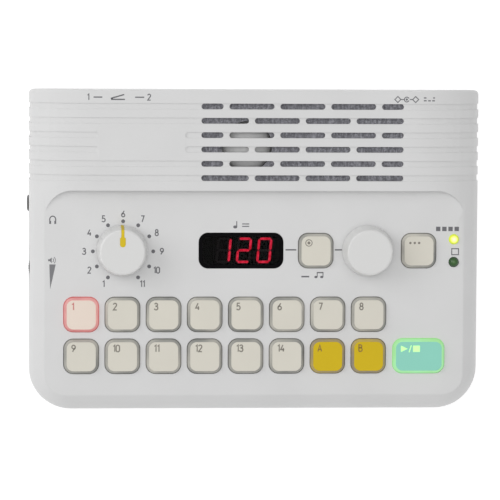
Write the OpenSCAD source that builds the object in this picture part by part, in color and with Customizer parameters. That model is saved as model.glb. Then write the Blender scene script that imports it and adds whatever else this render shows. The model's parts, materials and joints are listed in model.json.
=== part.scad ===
// Compact desktop drum machine.
// A wedge-shaped two-part plastic housing carries a tilted control panel at the front and a
// raised, grooved speaker hump at the rear. Under the panel a circuit board holds the switches,
// the number display and the two knobs; the underside has a battery bay with a hinged door.
// X runs to the right, Y to the rear, Z up. The origin is on the table, under the middle.
// Panel coordinates: x to the right, v up the panel from its front edge, w out of the panel.

/* [Housing] */
// Overall width
body_w = 225; // [205:1:245]
// Overall depth
body_d = 159; // [145:1:175]
// Tilt of the control panel, in degrees
panel_tilt = 6; // [5:0.25:7]
// Height of the panel's front edge above the table
panel_front_h = 28; // [28:0.5:34]
// Depth of the hump, from the panel's rear edge to the rear wall
hump_len = 50.5; // [49.5:0.25:52]
// Height of the hump above the panel
hump_rise = 5; // [4:0.25:7]
// Wall thickness of both shells
wall = 2.5; // [2:0.1:2.6]
// Height of the joint between the two shells
parting_h = 15; // [14:0.25:15.5]
// Height of the rubber feet below the bottom shell
foot_h = 2; // [1.5:0.1:3]
// Diameter of the rubber feet
foot_d = 13; // [8:0.5:16]
// Plan radius of the two front corners
front_corner_r = 21; // [16:0.5:24]
// Plan radius of the two rear corners
rear_corner_r = 2; // [1:0.25:4]
// Sideways reach of the rounded flank
crown_run = 35; // [30:0.5:38]
// Height of the rounded flank
crown_drop = 14; // [12:0.25:15]
// Rearward reach of the rounded front edge
front_run = 30; // [26:0.5:32]
// Radius of the panel's rear corners
panel_corner_r = 14; // [8:0.5:17]

/* [Hump] */
// Distance from the panel's rear edge to the first groove
groove_start = 6.3; // [6:0.1:7]
// Distance from groove to groove
groove_pitch = 7.1; // [6.6:0.1:7.3]
// Number of grooves
groove_rows = 6; // [2:2:6]
// Width of a groove
groove_w = 3; // [2.9:0.1:3.6]
// Depth of a groove
groove_depth = 0.55; // [0.3:0.05:0.8]
// Left end of the bare name field between the grooves
field_x = -78.2; // [-90:0.5:-70]
// Length of the bare name field
field_len = 43; // [30:0.5:46]
// Middle of the sound slots, across
grille_x = 23.15; // [20:0.05:26]
// Overall length of a row of slots
grille_w = 100.7; // [96:0.1:104]
// Height of a sound slot
slot_h = 2.85; // [2.2:0.05:2.9]
// Distance between the bars of one row
bar_pitch = 25.3; // [24:0.1:26]
// Width of a bar between two slots
bar_w = 2.9; // [2:0.1:5]

/* [Buttons] */
// Distance from pad to pad, across
pad_pitch = 20.5; // [20.4:0.05:21]
// Distance between the two pad rows
row_pitch = 20.9; // [20.5:0.1:22]
// Middle of the leftmost pad, across
pad_x = -86.5; // [-89:0.5:-85]
// Middle of the front pad row, up the panel
pad_v = 19.2; // [18.5:0.1:19.5]
// Distance from the housing's sides to the button rows
row_margin = 17.35; // [16:0.05:19]
// Width of the web between two button holes
pad_web = 2.7; // [2.5:0.1:3.4]
// Corner radius of a button hole
hole_corner_r = 5; // [4:0.1:6]
// Width of the start/stop button's hole
start_hole_w = 26.3; // [22:0.1:28]
// Middle of the start/stop button, across
start_x = 82.25; // [80:0.05:84]
// Gap round a button in its hole
button_gap = 0.4; // [0.3:0.05:0.6]
// How far a button stands above the panel
button_rise = 2.3; // [2:0.1:3]
// Thickness of the cream face of a button
face_t = 0.6; // [0.4:0.1:0.8]
// Inset of the face from the side of its button
face_inset = 1.25; // [0.5:0.05:1.5]
// Travel of a button
button_travel = 0.8; // [0.5:0.1:0.9]

/* [Controls] */
// Middle of the control row, up the panel
control_v = 72; // [71:0.25:73]
// Middle of the rhythm selector, across
selector_x = -66.2; // [-70:0.1:-62]
// Middle of the tempo knob, across
tempo_x = 56.3; // [54:0.1:58]
// Middle of the tap button, across
tap_x = 30.3; // [29:0.1:31]
// Middle of the mode button, across
mode_x = 81.9; // [80.5:0.1:84]
// Diameter of a knob at its base
knob_d = 25.4; // [22:0.2:28]
// Height of a knob
knob_h = 13; // [11:0.25:16]
// Narrowing of a knob's radius from its base to its top edge
knob_taper = 1.4; // [0.2:0.1:1.8]
// Rounding of a knob's top edge
knob_edge_r = 1; // [0.6:0.1:2]
// Gap between a knob and the panel
knob_gap = 0.5; // [0.3:0.1:1]
// Diameter of the knob shafts
shaft_d = 6; // [5:0.5:6]
// Width of the pointer line
pointer_w = 1.5; // [1.2:0.1:2.2]
// Width of the pointer's broad end
pointer_end_w = 2.8; // [2.3:0.1:4]
// Diameter of the volume wheel
wheel_d = 18; // [16:0.5:18.5]
// Thickness of the volume wheel
wheel_t = 3.5; // [3:0.25:4]
// How far the volume wheel stands out of the side wall
wheel_out = 0.2; // [0.1:0.1:0.4]
// Middle of the volume wheel, up the panel
wheel_v = 62.6; // [61:0.1:66]
// Depth of the finger scoop beside the volume wheel
scoop_depth = 0.45; // [0.3:0.05:0.8]
// Diameter of the two round indicator lamps
lamp_d = 5; // [4:0.25:5]
// Distance between the two indicator lamps
lamp_pitch = 11.4; // [8:0.1:14]
// Distance from the panel's right edge to the lamps
lamp_edge = 4.7; // [4.4:0.1:8]

/* [Display] */
// Width of the display window
window_w = 42.4; // [40:0.2:44]
// Height of the display window
window_len = 18; // [17:0.1:18.5]
// Corner radius of the display window
window_r = 4.8; // [2:0.1:6]
// Thickness of the display window
window_t = 1.7; // [1.2:0.1:1.8]
// Middle of the display window, across
window_x = -7; // [-8:0.1:-6]
// Height of a digit
digit_h = 12.9; // [12:0.1:13.8]
// Distance from digit to digit
digit_pitch = 10.16; // [9.8:0.02:10.6]
// Middle of the middle digit, across
digit_x = -5.4; // [-6.5:0.1:-5]
// Width of one segment
segment_w = 1.3; // [1:0.1:2]

/* [Circuit boards] */
// Thickness of the circuit boards
board_t = 1.6; // [1:0.2:1.6]
// Depth of the main board's top below the panel surface
board_drop = 8.5; // [8.4:0.1:8.8]
// Height of the rear board's top above the table
rear_board_h = 14; // [13:0.25:14.5]

/* [Speaker] */
// Distance from the left end of the sound slots to the middle of the speaker
speaker_side = 22.7; // [21:0.1:26]
// Distance from the panel's rear edge to the middle of the speaker
speaker_inset = 22; // [21.5:0.25:22.5]
// Width of the speaker's flange
flange_w = 54; // [52:1:58]
// Length of the speaker's flange
flange_len = 47; // [46:0.5:48]
// Diameter of the cone
cone_d = 43; // [38:1:43]
// Diameter of the dust cap
cap_d = 26; // [20:0.5:28]
// Height of the dust cap's dome
cap_rise = 5; // [3:0.25:5.2]
// Thickness of the felt under the slots
felt_t = 1; // [0.6:0.1:1.4]

/* [Jacks] */
// Bore of the headphone jack
phones_bore = 3.55; // [3.5:0.05:3.7]
// Diameter of the headphone jack's nose
phones_nose_d = 8.3; // [7:0.1:8.5]
// How far the headphone jack's nose stands out of the side wall
phones_out = 0.9; // [0.4:0.1:1.2]
// Distance from the headphone jack to the panel's rear edge
phones_inset = 7.1; // [6:0.1:8]
// Bore of the two foot switch jacks
foot_switch_bore = 6.4; // [6.35:0.01:6.5]
// Middle of the left foot switch jack, across
foot_switch_x = -83; // [-85:0.5:-80]
// Distance between the two foot switch jacks
foot_switch_pitch = 30; // [26:0.5:31]
// Middle of the power inlet, across
dc_x = 81.5; // [78:0.5:84]
// Bore of the power inlet
dc_bore = 6.2; // [5.8:0.1:6.4]
// Diameter of the power inlet's pin
dc_pin_d = 2; // [1.6:0.1:2.4]
// Middle of the power switch, across
switch_x = 58; // [54:0.5:62]
// Travel of the power switch
switch_travel = 4; // [2:0.5:4]

/* [Batteries] */
// Diameter of one AA cell
cell_d = 14.5; // [14.2:0.1:14.7]
// Length of one AA cell
cell_len = 50.5; // [49:0.25:51]
// Cells side by side in each half of the bay
cell_rows = 3; // [2:1:3]
// Distance from the rear wall to the battery bay
bay_inset = 54.5; // [53.5:0.25:56]
// Thickness of the battery door
door_t = 2.2; // [1.8:0.1:2.4]
// Gap round the battery door
door_gap = 0.3; // [0.25:0.05:0.5]

/* [Hidden] */
PADS = [for (i = [1:14]) str("pad_", i)];

$fn = 48;
eps = 0.01;
cut = 1;                       // how far a cutter runs past the face that it cuts
slide_gap = 0.05;              // radial gap between a shaft and its bore
seat_gap = 0.15;               // gap under a held flange or rim

// Width of the button rows with their margins, at which the places across are given
own_w = 8 * pad_pitch + start_hole_w + 2 * row_margin;

crown_steps = 12;
inner_steps = 8;
corner_gain = 1.35;            // how fast the front corners tighten up the flank

front_setback = front_run * (1 - crown_sin(hump_rise));
panel_y = -body_d / 2 + front_setback;
panel_len = (body_d - front_setback - hump_len) / cos(panel_tilt);
panel_half = body_w / 2 - crown_run * (1 - crown_sin(hump_rise));
crown_base_w = hump_rise - crown_drop;
panel_under = -wall;

flange_grow = 0.9;             // how far a button's hidden flange reaches under the panel
flange_t = 1.2;
flange_w0 = panel_under - seat_gap;
post_end_w = flange_w0 - flange_t - 0.2;
switch_h = 2.6;
button_hole = across(pad_pitch) - pad_web;
button_size = button_hole - 2 * button_gap;
start_hole = across(start_hole_w);
start_size_w = start_hole - 2 * button_gap;

board_half = body_w / 2 - wall - 3;
board_front = 8;
board_rear = panel_len - 3.5;
board_top_w = -board_drop;
board_under_w = board_top_w - board_t;
post_d = 5;
post_edge = 6;
post_inset = 11;
post_drop = 17;
post_x = [-36, 44];
between_rows = pad_v + across(row_pitch) / 2;
post_spots = [
    [across(pad_x + 0.5 * pad_pitch), between_rows],
    [across(pad_x + 3.5 * pad_pitch), between_rows],
    [across(pad_x + 6.5 * pad_pitch), between_rows],
    [-board_half + post_edge, panel_len - post_inset - 2],
    [across(post_x[0]), panel_len - post_inset],
    [across(post_x[1]), panel_len - post_inset],
    [board_half - post_edge, control_v - post_drop],
];

screw_d = 3;
screw_head_d = 5.6;
screw_head_h = 2;
screw_sink = 1.5;
screw_len = 15;
boss_d = 7;
thread_gap = 0.05;
boss_inset = 8.5;
boss_side = 32;
boss_mid = [-38, 7.5];
boss_spots = [
    [-body_w / 2 + boss_side, -body_d / 2 + boss_inset],
    [0, -body_d / 2 + boss_inset],
    [body_w / 2 - boss_side, -body_d / 2 + boss_inset],
    [-body_w / 2 + boss_inset, body_d / 2 - boss_inset],
    [across(boss_mid[0]), body_d / 2 - boss_mid[1]],
    [body_w / 2 - boss_inset, body_d / 2 - boss_inset],
];
foot_inset = [18, 19];
foot_spots = [for (x = [-1, 1], y = [-1, 1])
    [x * (body_w / 2 - foot_inset[0]), y * (body_d / 2 - foot_inset[1])]];
foot_recess = 0.5;

felt_under_w = hump_rise - wall - felt_t;
felt_margin = 3.5;
flange_top_w = panel_under - 0.2;
speaker_x = across(grille_x - grille_w / 2) + speaker_side;
speaker_v = panel_len + speaker_inset;
speaker_plate_t = 1.2;
ear_inset = 4;
ear_rows = [groove_v(0.5), groove_v(groove_rows - 1.5)];
speaker_ears = [for (x = [-1, 1], v = ear_rows) [x * (flange_w / 2 - ear_inset), v - speaker_v]];
ear_post_d = 3.9;
small_screw_d = 2;
small_head_d = 4;
small_head_h = 1.3;
small_bite = 3.5;
board_bite = 5;
basket_depth = 11;
frame_window_w = 7;
magnet_d = 32;
magnet_t = 8;
surround_w = 4;
surround_rise = 0.5;
cone_t = 0.7;
cone_fall = 1.7;
neck_len = 3.2;
cap_t = 0.5;
cap_foot = 2.6;
cap_base_w = -surround_rise - cone_t - cone_fall;
neck_r = cap_d / 2 - 3;
neck_top_w = cap_base_w - 2;

pot_h = 3.6;
pot_side = 11;
wheel_shaft_d = 3;
wheel_lift = 0.4;
wheel_mid_w = board_under_w - pot_h - wheel_t / 2 - wheel_lift;
wheel_x = -body_w / 2 - wheel_out + wheel_d / 2;
scoop_r = 190;

lamp_x = panel_half - lamp_edge;
lamp_flange_d = lamp_d + 0.9;
lamp_v = [control_v + lamp_pitch / 2, control_v - lamp_pitch / 2];

module_top_w = panel_under - 0.2;
module_len = 19;
selector_can = 16;
encoder_can = 12;
bush_wall = 1.5;
digit_slant = 5;
digit_w = 6;
segment_gap = 0.2;
bar_len = digit_h / 2 - segment_w / 2 - segment_gap;
flat_len = digit_w - segment_gap;
pointer_depth = 0.6;

phones_v = panel_len - phones_inset;
phones_w = board_under_w - 3;
phones_len = 13;
phones_body = [12, 5.6, 5.9];
jack_size = [16, 26, 13.6];
jack_mid_h = rear_board_h + jack_size[2] / 2;
foot_switch_spots = [across(foot_switch_x), across(foot_switch_x + foot_switch_pitch)];
foot_switch_nose_d = 9.6;
dc_size = [9, 13.5, 11];
dc_mid_h = rear_board_h + dc_size[2] / 2;
dc_nose_d = 8;
rear_inner_y = body_d / 2 - wall;
switch_size = [13, 6, 7];
switch_mid_h = rear_board_h + 3.5;
lever_size = [3, 4.6, 3.2];
ribbon_x = 30.5;
ribbon_w = 18;
ribbon_t = 0.8;

rear_board_half = body_w / 2 - 14.5;
rear_board_len = 29;
rear_board_y = rear_inner_y - rear_board_len - 0.5;

bay_wall = 1.8;
bay_half = cell_len + 3;
cell_play = 2.5;
bay_len = cell_rows * cell_d + cell_play;
bay_rear = body_d / 2 - bay_inset;
bay_front = bay_rear - bay_len;
bay_top = foot_h + door_t + cell_d + 0.7;
divider_t = 2;
contact_t = 0.4;
contact_w = 10;
contact_h = 9;
spring_wire = 0.8;
spring_d = 7.2;
spring_narrowing = 0.45;
spring_turns = 4;
tab_reach = 2.3;
tab_root = 2;
tab_t = 1.5;
tab_w = 8;
tab_x = 30;
tab_slot_h = 3.5;
door_rear = bay_rear - door_gap;
floor_top = foot_h + wall;

cream = "#f1ece0";
mustard = "#d2b02c";
shell_white = "#e4e3e0";
black = "#1d1d1f";
metal = "#b9bbbd";

function cell_y(i) = bay_front + cell_play / 2 + cell_d * (i + 0.5);
function cell_h() = foot_h + door_t + 0.5 + cell_d / 2;

// Sine of the flank's angle where it has dropped by the given height
function crown_sin(drop) = sqrt(1 - pow(1 - drop / crown_drop, 2));

// Place up the panel, at height w above it, of a vertical wall that stands at depth y
function wall_v(y, w) = (y - panel_y + w * sin(panel_tilt)) / cos(panel_tilt);

function groove_v(i) = panel_len + groove_start + groove_pitch * i;

// Place across, kept at its share of the body's width
function across(x) = x * body_w / own_w;

function pad_spot(i) = [across(pad_x + (i % 8) * pad_pitch), pad_v + (i < 8 ? across(row_pitch) : 0)];

// Points of a knob's outside, from its base edge round to its axis
function knob_edge(r, h) = [for (a = [0:15:90])
    [r - knob_taper - knob_edge_r * (1 - cos(a)), h - knob_edge_r * (1 - sin(a))]];

// ---- shared shapes ----

module on_panel(x = 0, v = 0, w = 0) {
    translate([0, panel_y, panel_front_h])
        rotate([panel_tilt, 0, 0])
            translate([x, v, w])
                children();
}

module rounded_rect(size, r) {
    square([size[0] - 2 * r, size[1]], center = true);
    square([size[0], size[1] - 2 * r], center = true);
    for (x = [-1, 1], y = [-1, 1])
        translate([x * (size[0] / 2 - r), y * (size[1] / 2 - r)])
            circle(r = r);
}

module rounded_block(size, r, h) {
    linear_extrude(h)
        rounded_rect(size, r);
}

// A straight slot with round ends, from x0 to x1
module stadium(x0, x1, w) {
    translate([x0 + w / 2, -w / 2])
        square([x1 - x0 - w, w]);
    for (x = [x0 + w / 2, x1 - w / 2])
        translate([x, 0])
            circle(d = w);
}

module ring(outer, inner, h) {
    difference() {
        cylinder(d = outer, h = h);
        translate([0, 0, -cut])
            cylinder(d = inner, h = h + 2 * cut);
    }
}

// One thin plan outline of the housing, with its own front and rear corners
module outline_slab(half, front, rear, front_r, rear_r) {
    for (side = [-1, 1]) {
        translate([side * (half - front_r), front + front_r, 0])
            cylinder(r = front_r, h = eps, $fn = 48);
        translate([side * (half - rear_r), rear - rear_r, 0])
            cylinder(r = rear_r, h = eps, $fn = 16);
    }
}

module crown_slab(angle, inset) {
    lean = 1 - sin(angle);
    w = hump_rise - inset - (crown_drop - inset) * (1 - cos(angle));
    side_lean = (crown_run - inset) * lean;
    half = body_w / 2 - inset - side_lean;
    front = wall_v(-body_d / 2 + inset, w) + (front_run - inset) * lean;
    rear = wall_v(body_d / 2 - inset, w) - rear_corner_r * lean;
    front_r = max(rear_corner_r, front_corner_r - inset - corner_gain * side_lean);
    on_panel(0, 0, w)
        outline_slab(half, front, rear, front_r, max(0.6, rear_corner_r - inset / 2));
}

// The whole upper form before the panel is cut, inset all round by a wall
module upper_form(inset, steps, low = 0) {
    hull() {
        for (i = [0:steps])
            crown_slab(90 * i / steps, inset);
        translate([0, 0, parting_h - low])
            outline_slab(
                body_w / 2 - inset, -body_d / 2 + inset, body_d / 2 - inset,
                front_corner_r - inset, max(0.6, rear_corner_r - inset / 2)
            );
    }
}

// Plan of the panel, grown by the given amount at its sides and rear
module panel_plan(grow = 0) {
    r = panel_corner_r + grow;
    half = panel_half + 0.3 + grow;
    rear = panel_len + grow;
    translate([-half, -cut * 30])
        square([2 * half, rear - r + cut * 30]);
    translate([-half + r, 0])
        square([2 * (half - r), rear]);
    for (side = [-1, 1])
        translate([side * (half - r), rear - r])
            circle(r = r, $fn = 96);
}

module button_hole_plan(w) {
    rounded_rect([w, button_hole], hole_corner_r);
}

// ---- top case ----

module grooves() {
    far = body_w;
    gap_rows = [groove_rows / 2 - 1, groove_rows / 2];
    difference() {
        for (i = [0:groove_rows - 1])
            on_panel(0, groove_v(i), crown_base_w - 40)
                linear_extrude(60)
                    if (i == gap_rows[0] || i == gap_rows[1]) {
                        stadium(-far, across(field_x), groove_w);
                        stadium(across(field_x + field_len), far, groove_w);
                    } else {
                        stadium(-far, far, groove_w);
                    }
        upper_form(groove_depth, crown_steps, 1);
    }
}

// Bars of one row of slots, counted in bar pitches from the middle
function bar_steps(i) = i % 2 == 1 ? [-1.5, -0.5, 0.5, 1.5] : [-1, 0, 1];

module sound_slots() {
    reach = across(grille_w) / 2;
    for (i = [0:groove_rows - 1]) {
        bars = [for (b = bar_steps(i)) across(b * bar_pitch)];
        starts = concat([-reach], [for (b = bars) b + bar_w / 2]);
        ends = concat([for (b = bars) b - bar_w / 2], [reach]);
        on_panel(across(grille_x), groove_v(i), felt_under_w)
            linear_extrude(hump_rise + cut)
                for (k = [0:len(bars)])
                    stadium(starts[k], ends[k], slot_h);
    }
}

module panel_holes() {
    for (i = [0:15])
        on_panel(pad_spot(i)[0], pad_spot(i)[1], panel_under - cut)
            linear_extrude(wall + 2 * cut)
                button_hole_plan(button_hole);
    on_panel(across(start_x), pad_v, panel_under - cut)
        linear_extrude(wall + 2 * cut)
            button_hole_plan(start_hole);
    for (x = [tap_x, mode_x])
        on_panel(across(x), control_v, panel_under - cut)
            linear_extrude(wall + 2 * cut)
                button_hole_plan(button_hole);
    on_panel(across(window_x), control_v, -window_t)
        linear_extrude(window_t + cut)
            rounded_rect([window_w, window_len], window_r);
    on_panel(across(window_x), control_v, panel_under - cut)
        linear_extrude(wall + cut)
            rounded_rect([window_w - 3, window_len - 3], window_r - 1.5);
    for (x = [selector_x, tempo_x])
        on_panel(across(x), control_v, panel_under - cut)
            cylinder(d = shaft_d + 2 * bush_wall + 0.4, h = wall + 2 * cut);
    for (v = lamp_v)
        on_panel(lamp_x, v, panel_under - cut)
            cylinder(d = lamp_d + 0.2, h = wall + 2 * cut);
}

module side_and_rear_openings() {
    on_panel(-body_w / 2 + wall + cut, phones_v, phones_w)
        rotate([0, -90, 0])
            cylinder(d = phones_nose_d + 0.3, h = wall + 3 * cut);
    on_panel(wheel_x, wheel_v, wheel_mid_w - wheel_t / 2 - 0.5)
        intersection() {
            cylinder(d = wheel_d + 1, h = wheel_t + 1, $fn = 96);
            translate([-wheel_d, -wheel_d / 2, 0])
                cube([wheel_d, wheel_d, wheel_t + 1]);
        }
    translate([-body_w / 2 + scoop_depth - scoop_r, wheel_plan_y(), parting_h + 1])
        cylinder(r = scoop_r, h = panel_front_h, $fn = 360);
    for (x = foot_switch_spots)
        translate([x, rear_inner_y - cut, jack_mid_h])
            rotate([-90, 0, 0])
                cylinder(d = foot_switch_nose_d + 0.3, h = wall + 2 * cut);
    translate([across(dc_x), rear_inner_y - cut, dc_mid_h])
        rotate([-90, 0, 0])
            cylinder(d = dc_nose_d + 0.3, h = wall + 2 * cut);
    translate([across(switch_x), rear_inner_y - cut, switch_mid_h])
        rotate([-90, 0, 0])
            linear_extrude(wall + 2 * cut)
                square([lever_size[0] + switch_travel + 0.8, lever_size[2] + 0.8], center = true);
}

function wheel_plan_y() = panel_y + wheel_v * cos(panel_tilt) - wheel_mid_w * sin(panel_tilt);

module upper_posts() {
    for (p = post_spots)
        on_panel(p[0], p[1], board_top_w)
            cylinder(d = post_d, h = board_drop - wall / 2);
    for (p = speaker_ears)
        on_panel(speaker_x + p[0], speaker_v + p[1], flange_top_w)
            cylinder(d = ear_post_d, h = hump_rise - wall / 2 - flange_top_w);
    difference() {
        intersection() {
            for (p = boss_spots)
                translate([p[0], p[1], parting_h])
                    cylinder(d = boss_d, h = 60);
            upper_form(wall / 2, inner_steps);
        }
        on_panel(0, 0, -wall / 2)
            linear_extrude(60)
                panel_plan();
    }
}

module upper_pilots() {
    for (p = post_spots)
        on_panel(p[0], p[1], board_top_w - cut)
            cylinder(d = small_screw_d + 2 * thread_gap, h = board_drop - wall + cut);
    for (p = speaker_ears)
        on_panel(speaker_x + p[0], speaker_v + p[1], flange_top_w - cut)
            cylinder(d = small_screw_d + 2 * thread_gap, h = cut + 4);
    for (p = boss_spots)
        translate([p[0], p[1], parting_h - cut])
            cylinder(d = screw_d + 2 * thread_gap, h = cut + 8);
}

module top_case() {
    color(shell_white)
        difference() {
            union() {
                difference() {
                    upper_form(0, crown_steps);
                    on_panel()
                        linear_extrude(hump_rise + cut)
                            panel_plan();
                    difference() {
                        upper_form(wall, inner_steps, cut);
                        on_panel(0, 0, panel_under)
                            linear_extrude(hump_rise + cut)
                                panel_plan(wall);
                    }
                    grooves();
                    sound_slots();
                }
                upper_posts();
            }
            panel_holes();
            side_and_rear_openings();
            upper_pilots();
        }
}

// ---- bottom case and battery bay ----

module lower_form(inset) {
    profile = [[parting_h, 0], [foot_h + 4, 0.5], [foot_h + 1.2, 1.7], [foot_h + inset, 3.6]];
    hull()
        for (p = profile)
            translate([0, 0, p[0] - (p[0] == parting_h ? eps : 0)])
                outline_slab(
                    body_w / 2 - inset - p[1], -body_d / 2 + inset + p[1],
                    body_d / 2 - inset - p[1], front_corner_r - inset - p[1],
                    max(0.6, rear_corner_r - inset / 2)
                );
}

// The hump's grooves, carried on down the side walls
module lower_grooves() {
    reach = 3;
    deep = panel_front_h + body_d * sin(panel_tilt);
    difference() {
        for (i = [0:groove_rows - 1], side = [-1, 1])
            on_panel(side * body_w / 2, groove_v(i), -deep)
                linear_extrude(deep)
                    square([2 * reach, groove_w], center = true);
        lower_form(groove_depth);
    }
}

module bay_shell() {
    translate([-bay_half - bay_wall, bay_front - bay_wall, foot_h + 1])
        cube([2 * (bay_half + bay_wall), bay_len + 2 * bay_wall, bay_top + bay_wall - foot_h - 1]);
}

module bay_hollow() {
    half = bay_half;
    difference() {
        translate([-half, bay_front, foot_h - cut])
            cube([2 * half, bay_len, bay_top - foot_h + cut]);
        translate([-divider_t / 2, bay_front - cut, foot_h + door_t + 3])
            cube([divider_t, bay_len + 2 * cut, bay_top]);
        for (x = [-1, 1], y = [0, 1])
            translate([x * (half - 1.25) - 1.25, bay_front + y * (bay_len - 5), foot_h + door_t + 0.05])
                cube([2.5, 5, 2]);
    }
}

module bottom_case() {
    color(shell_white)
        difference() {
            union() {
                difference() {
                    lower_form(0);
                    lower_cavity();
                    lower_grooves();
                }
                bay_shell();
                for (p = boss_spots)
                    translate([p[0], p[1], foot_h + 1])
                        cylinder(d = boss_d, h = parting_h - foot_h - 1 - 0.05);
                for (x = [-1, 1], y = [4, rear_board_len - 4])
                    translate([x * (rear_board_half - 22), rear_board_y + y, foot_h + 1])
                        cylinder(d = 6, h = rear_board_h - board_t - foot_h - 1);
            }
            bay_hollow();
            for (x = [-1, 1])
                translate([x * tab_x - tab_w / 2 - 0.4, bay_rear - cut, floor_top])
                    cube([tab_w + 0.8, bay_wall + 2 * cut, tab_slot_h]);
            for (p = boss_spots)
                translate([p[0], p[1], foot_h - cut]) {
                    cylinder(d = screw_d + 0.4, h = parting_h);
                    cylinder(d = screw_head_d + 0.6, h = cut + screw_head_h + screw_sink);
                }
            for (p = foot_spots)
                translate([p[0], p[1], foot_h - cut])
                    cylinder(d = foot_d + 0.2, h = cut + foot_recess);
        }
}

module lower_cavity() {
    hull() {
        translate([0, 0, floor_top])
            outline_slab(
                body_w / 2 - wall - 3.2, -body_d / 2 + wall + 3.2, body_d / 2 - wall - 3.2,
                front_corner_r - wall - 3, rear_corner_r
            );
        translate([0, 0, floor_top + 3])
            outline_slab(
                body_w / 2 - wall - 0.6, -body_d / 2 + wall + 0.6, body_d / 2 - wall - 0.6,
                front_corner_r - wall, rear_corner_r
            );
        translate([0, 0, parting_h + cut])
            outline_slab(
                body_w / 2 - wall, -body_d / 2 + wall, body_d / 2 - wall,
                front_corner_r - wall, rear_corner_r
            );
    }
}

module battery_door() {
    half = bay_half - door_gap;
    front = bay_front + door_gap;
    tongue = 16;
    slit = 0.8;
    color(shell_white)
        difference() {
            union() {
                translate([-half, front, foot_h])
                    cube([2 * half, door_rear - front - door_t / 2, door_t]);
                translate([-half, door_rear - door_t / 2, foot_h + door_t / 2])
                    rotate([0, 90, 0])
                        cylinder(d = door_t, h = 2 * half);
                for (x = [-1, 1])
                    translate([x * tab_x - tab_w / 2, door_rear - tab_root, foot_h + door_t - eps]) {
                        cube([tab_w, tab_root, wall - door_t + tab_t]);
                        translate([0, 0, wall - door_t + 0.1])
                            cube([tab_w, tab_root + tab_reach, tab_t]);
                    }
            }
            for (x = [-1, 1])
                translate([x * tongue / 2 - slit / 2, front - cut, foot_h - cut])
                    cube([slit, 9 + cut, door_t + 2 * cut]);
            for (i = [0:4])
                translate([-5, front + 2 + 1.4 * i, foot_h - cut])
                    cube([10, 0.6, cut + 0.4]);
        }
}

module battery_contacts() {
    color(metal)
        for (side = [-1, 1], x = [divider_t / 2 + contact_t / 2, bay_half - contact_t / 2])
            for (i = [0:cell_rows - 1])
                translate([side * x, cell_y(i), cell_h()])
                    cube([contact_t, contact_w, contact_h], center = true);
}

// Conical coil seen as stacked turns, growing towards its plate
module battery_spring() {
    for (i = [0:spring_turns - 1])
        translate([0, 0, spring_wire * (i + 0.5)])
            rotate_extrude()
                translate([spring_d / 2 - i * spring_narrowing, 0])
                    circle(d = spring_wire, $fn = 16);
}

module battery_springs() {
    outer = bay_half - contact_t;
    inner = divider_t / 2 + contact_t;
    color(metal)
        for (side = [-1, 1], i = [0:cell_rows - 1])
            translate([side * (i % 2 == 0 ? outer : inner), cell_y(i), cell_h()])
                rotate([0, side * (i % 2 == 0 ? -90 : 90), 0])
                    battery_spring();
}

module rubber_feet() {
    color(black)
        for (p = foot_spots)
            translate([p[0], p[1], 0])
                rotate_extrude()
                    polygon([
                        [0, 0], [foot_d / 2 - 1, 0], [foot_d / 2, foot_h],
                        [foot_d / 2, foot_h + foot_recess], [0, foot_h + foot_recess]
                    ]);
}

module pan_screw(d, head_d, head_h, len) {
    rotate_extrude()
        polygon([
            [0, -head_h], [0.4 * head_d, -head_h], [head_d / 2, -0.65 * head_h],
            [head_d / 2, 0], [d / 2, 0], [d / 2, len - d / 2], [0, len]
        ]);
}

module case_screws() {
    color(metal)
        for (p = boss_spots)
            translate([p[0], p[1], foot_h + screw_head_h + screw_sink])
                pan_screw(screw_d, screw_head_d, screw_head_h, screw_len);
}

// ---- display ----

module display_window() {
    color("#3a0f12")
        on_panel(across(window_x), control_v, -window_t)
            rounded_block([window_w - 0.1, window_len - 0.1], window_r, window_t - 0.05);
}

module display_module() {
    color(black)
        on_panel(across(digit_x), control_v, board_top_w)
            linear_extrude(module_top_w - board_top_w)
                square([3 * digit_pitch, module_len], center = true);
}

// One bar of a digit, pointed at both ends, along x
function segment_plan(len) = [
    [-len / 2, 0], [-len / 2 + segment_w / 2, segment_w / 2], [len / 2 - segment_w / 2, segment_w / 2],
    [len / 2, 0], [len / 2 - segment_w / 2, -segment_w / 2], [-len / 2 + segment_w / 2, -segment_w / 2]
];
function slanted(pts) = [for (p = pts) [p[0] + p[1] * tan(digit_slant), p[1]]];
function turned(pts) = [for (p = pts) [-p[1], p[0]]];
function moved(pts, by) = [for (p = pts) p + by];

module digit() {
    half_h = (digit_h - segment_w) / 2;
    half_w = digit_w / 2;
    for (y = [-half_h, 0, half_h])
        polygon(slanted(moved(segment_plan(flat_len), [0, y])));
    for (x = [-half_w, half_w], y = [-half_h / 2, half_h / 2])
        polygon(slanted(moved(turned(segment_plan(bar_len)), [x, y])));
}

module display_segments() {
    color("#ff3030")
        for (i = [-1:1])
            on_panel(across(digit_x) + i * digit_pitch, control_v, module_top_w)
                linear_extrude(0.25)
                    digit();
}

// ---- knobs ----

// Hollow round knob with a hub that takes its shaft
module knob_body() {
    r = knob_d / 2;
    shell = 1.6;
    hub = shaft_d / 2 + 2;
    rotate_extrude($fn = 96)
        polygon(concat(
            [[r - 0.3, 0], [r, 0.3]],
            knob_edge(r, knob_h),
            [
                [0, knob_h], [0, knob_h - 1.8], [shaft_d / 2, knob_h - 1.8], [shaft_d / 2, 2.2], [hub, 2.2],
                [hub, knob_h - shell - 0.6], [r - knob_taper - shell, knob_h - shell - 0.6], [r - shell, 0]
            ]
        ));
}

module pointer_plan(grow = 0) {
    reach = knob_d / 2 + 1;
    broad_from = 2.6;
    broad_to = 7.8;
    translate([-pointer_w / 2 - grow, broad_to - 0.5])
        square([pointer_w + 2 * grow, reach - broad_to + 0.5]);
    pointer_tongue(broad_from, broad_to, pointer_end_w / 2 + grow);
}

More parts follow.
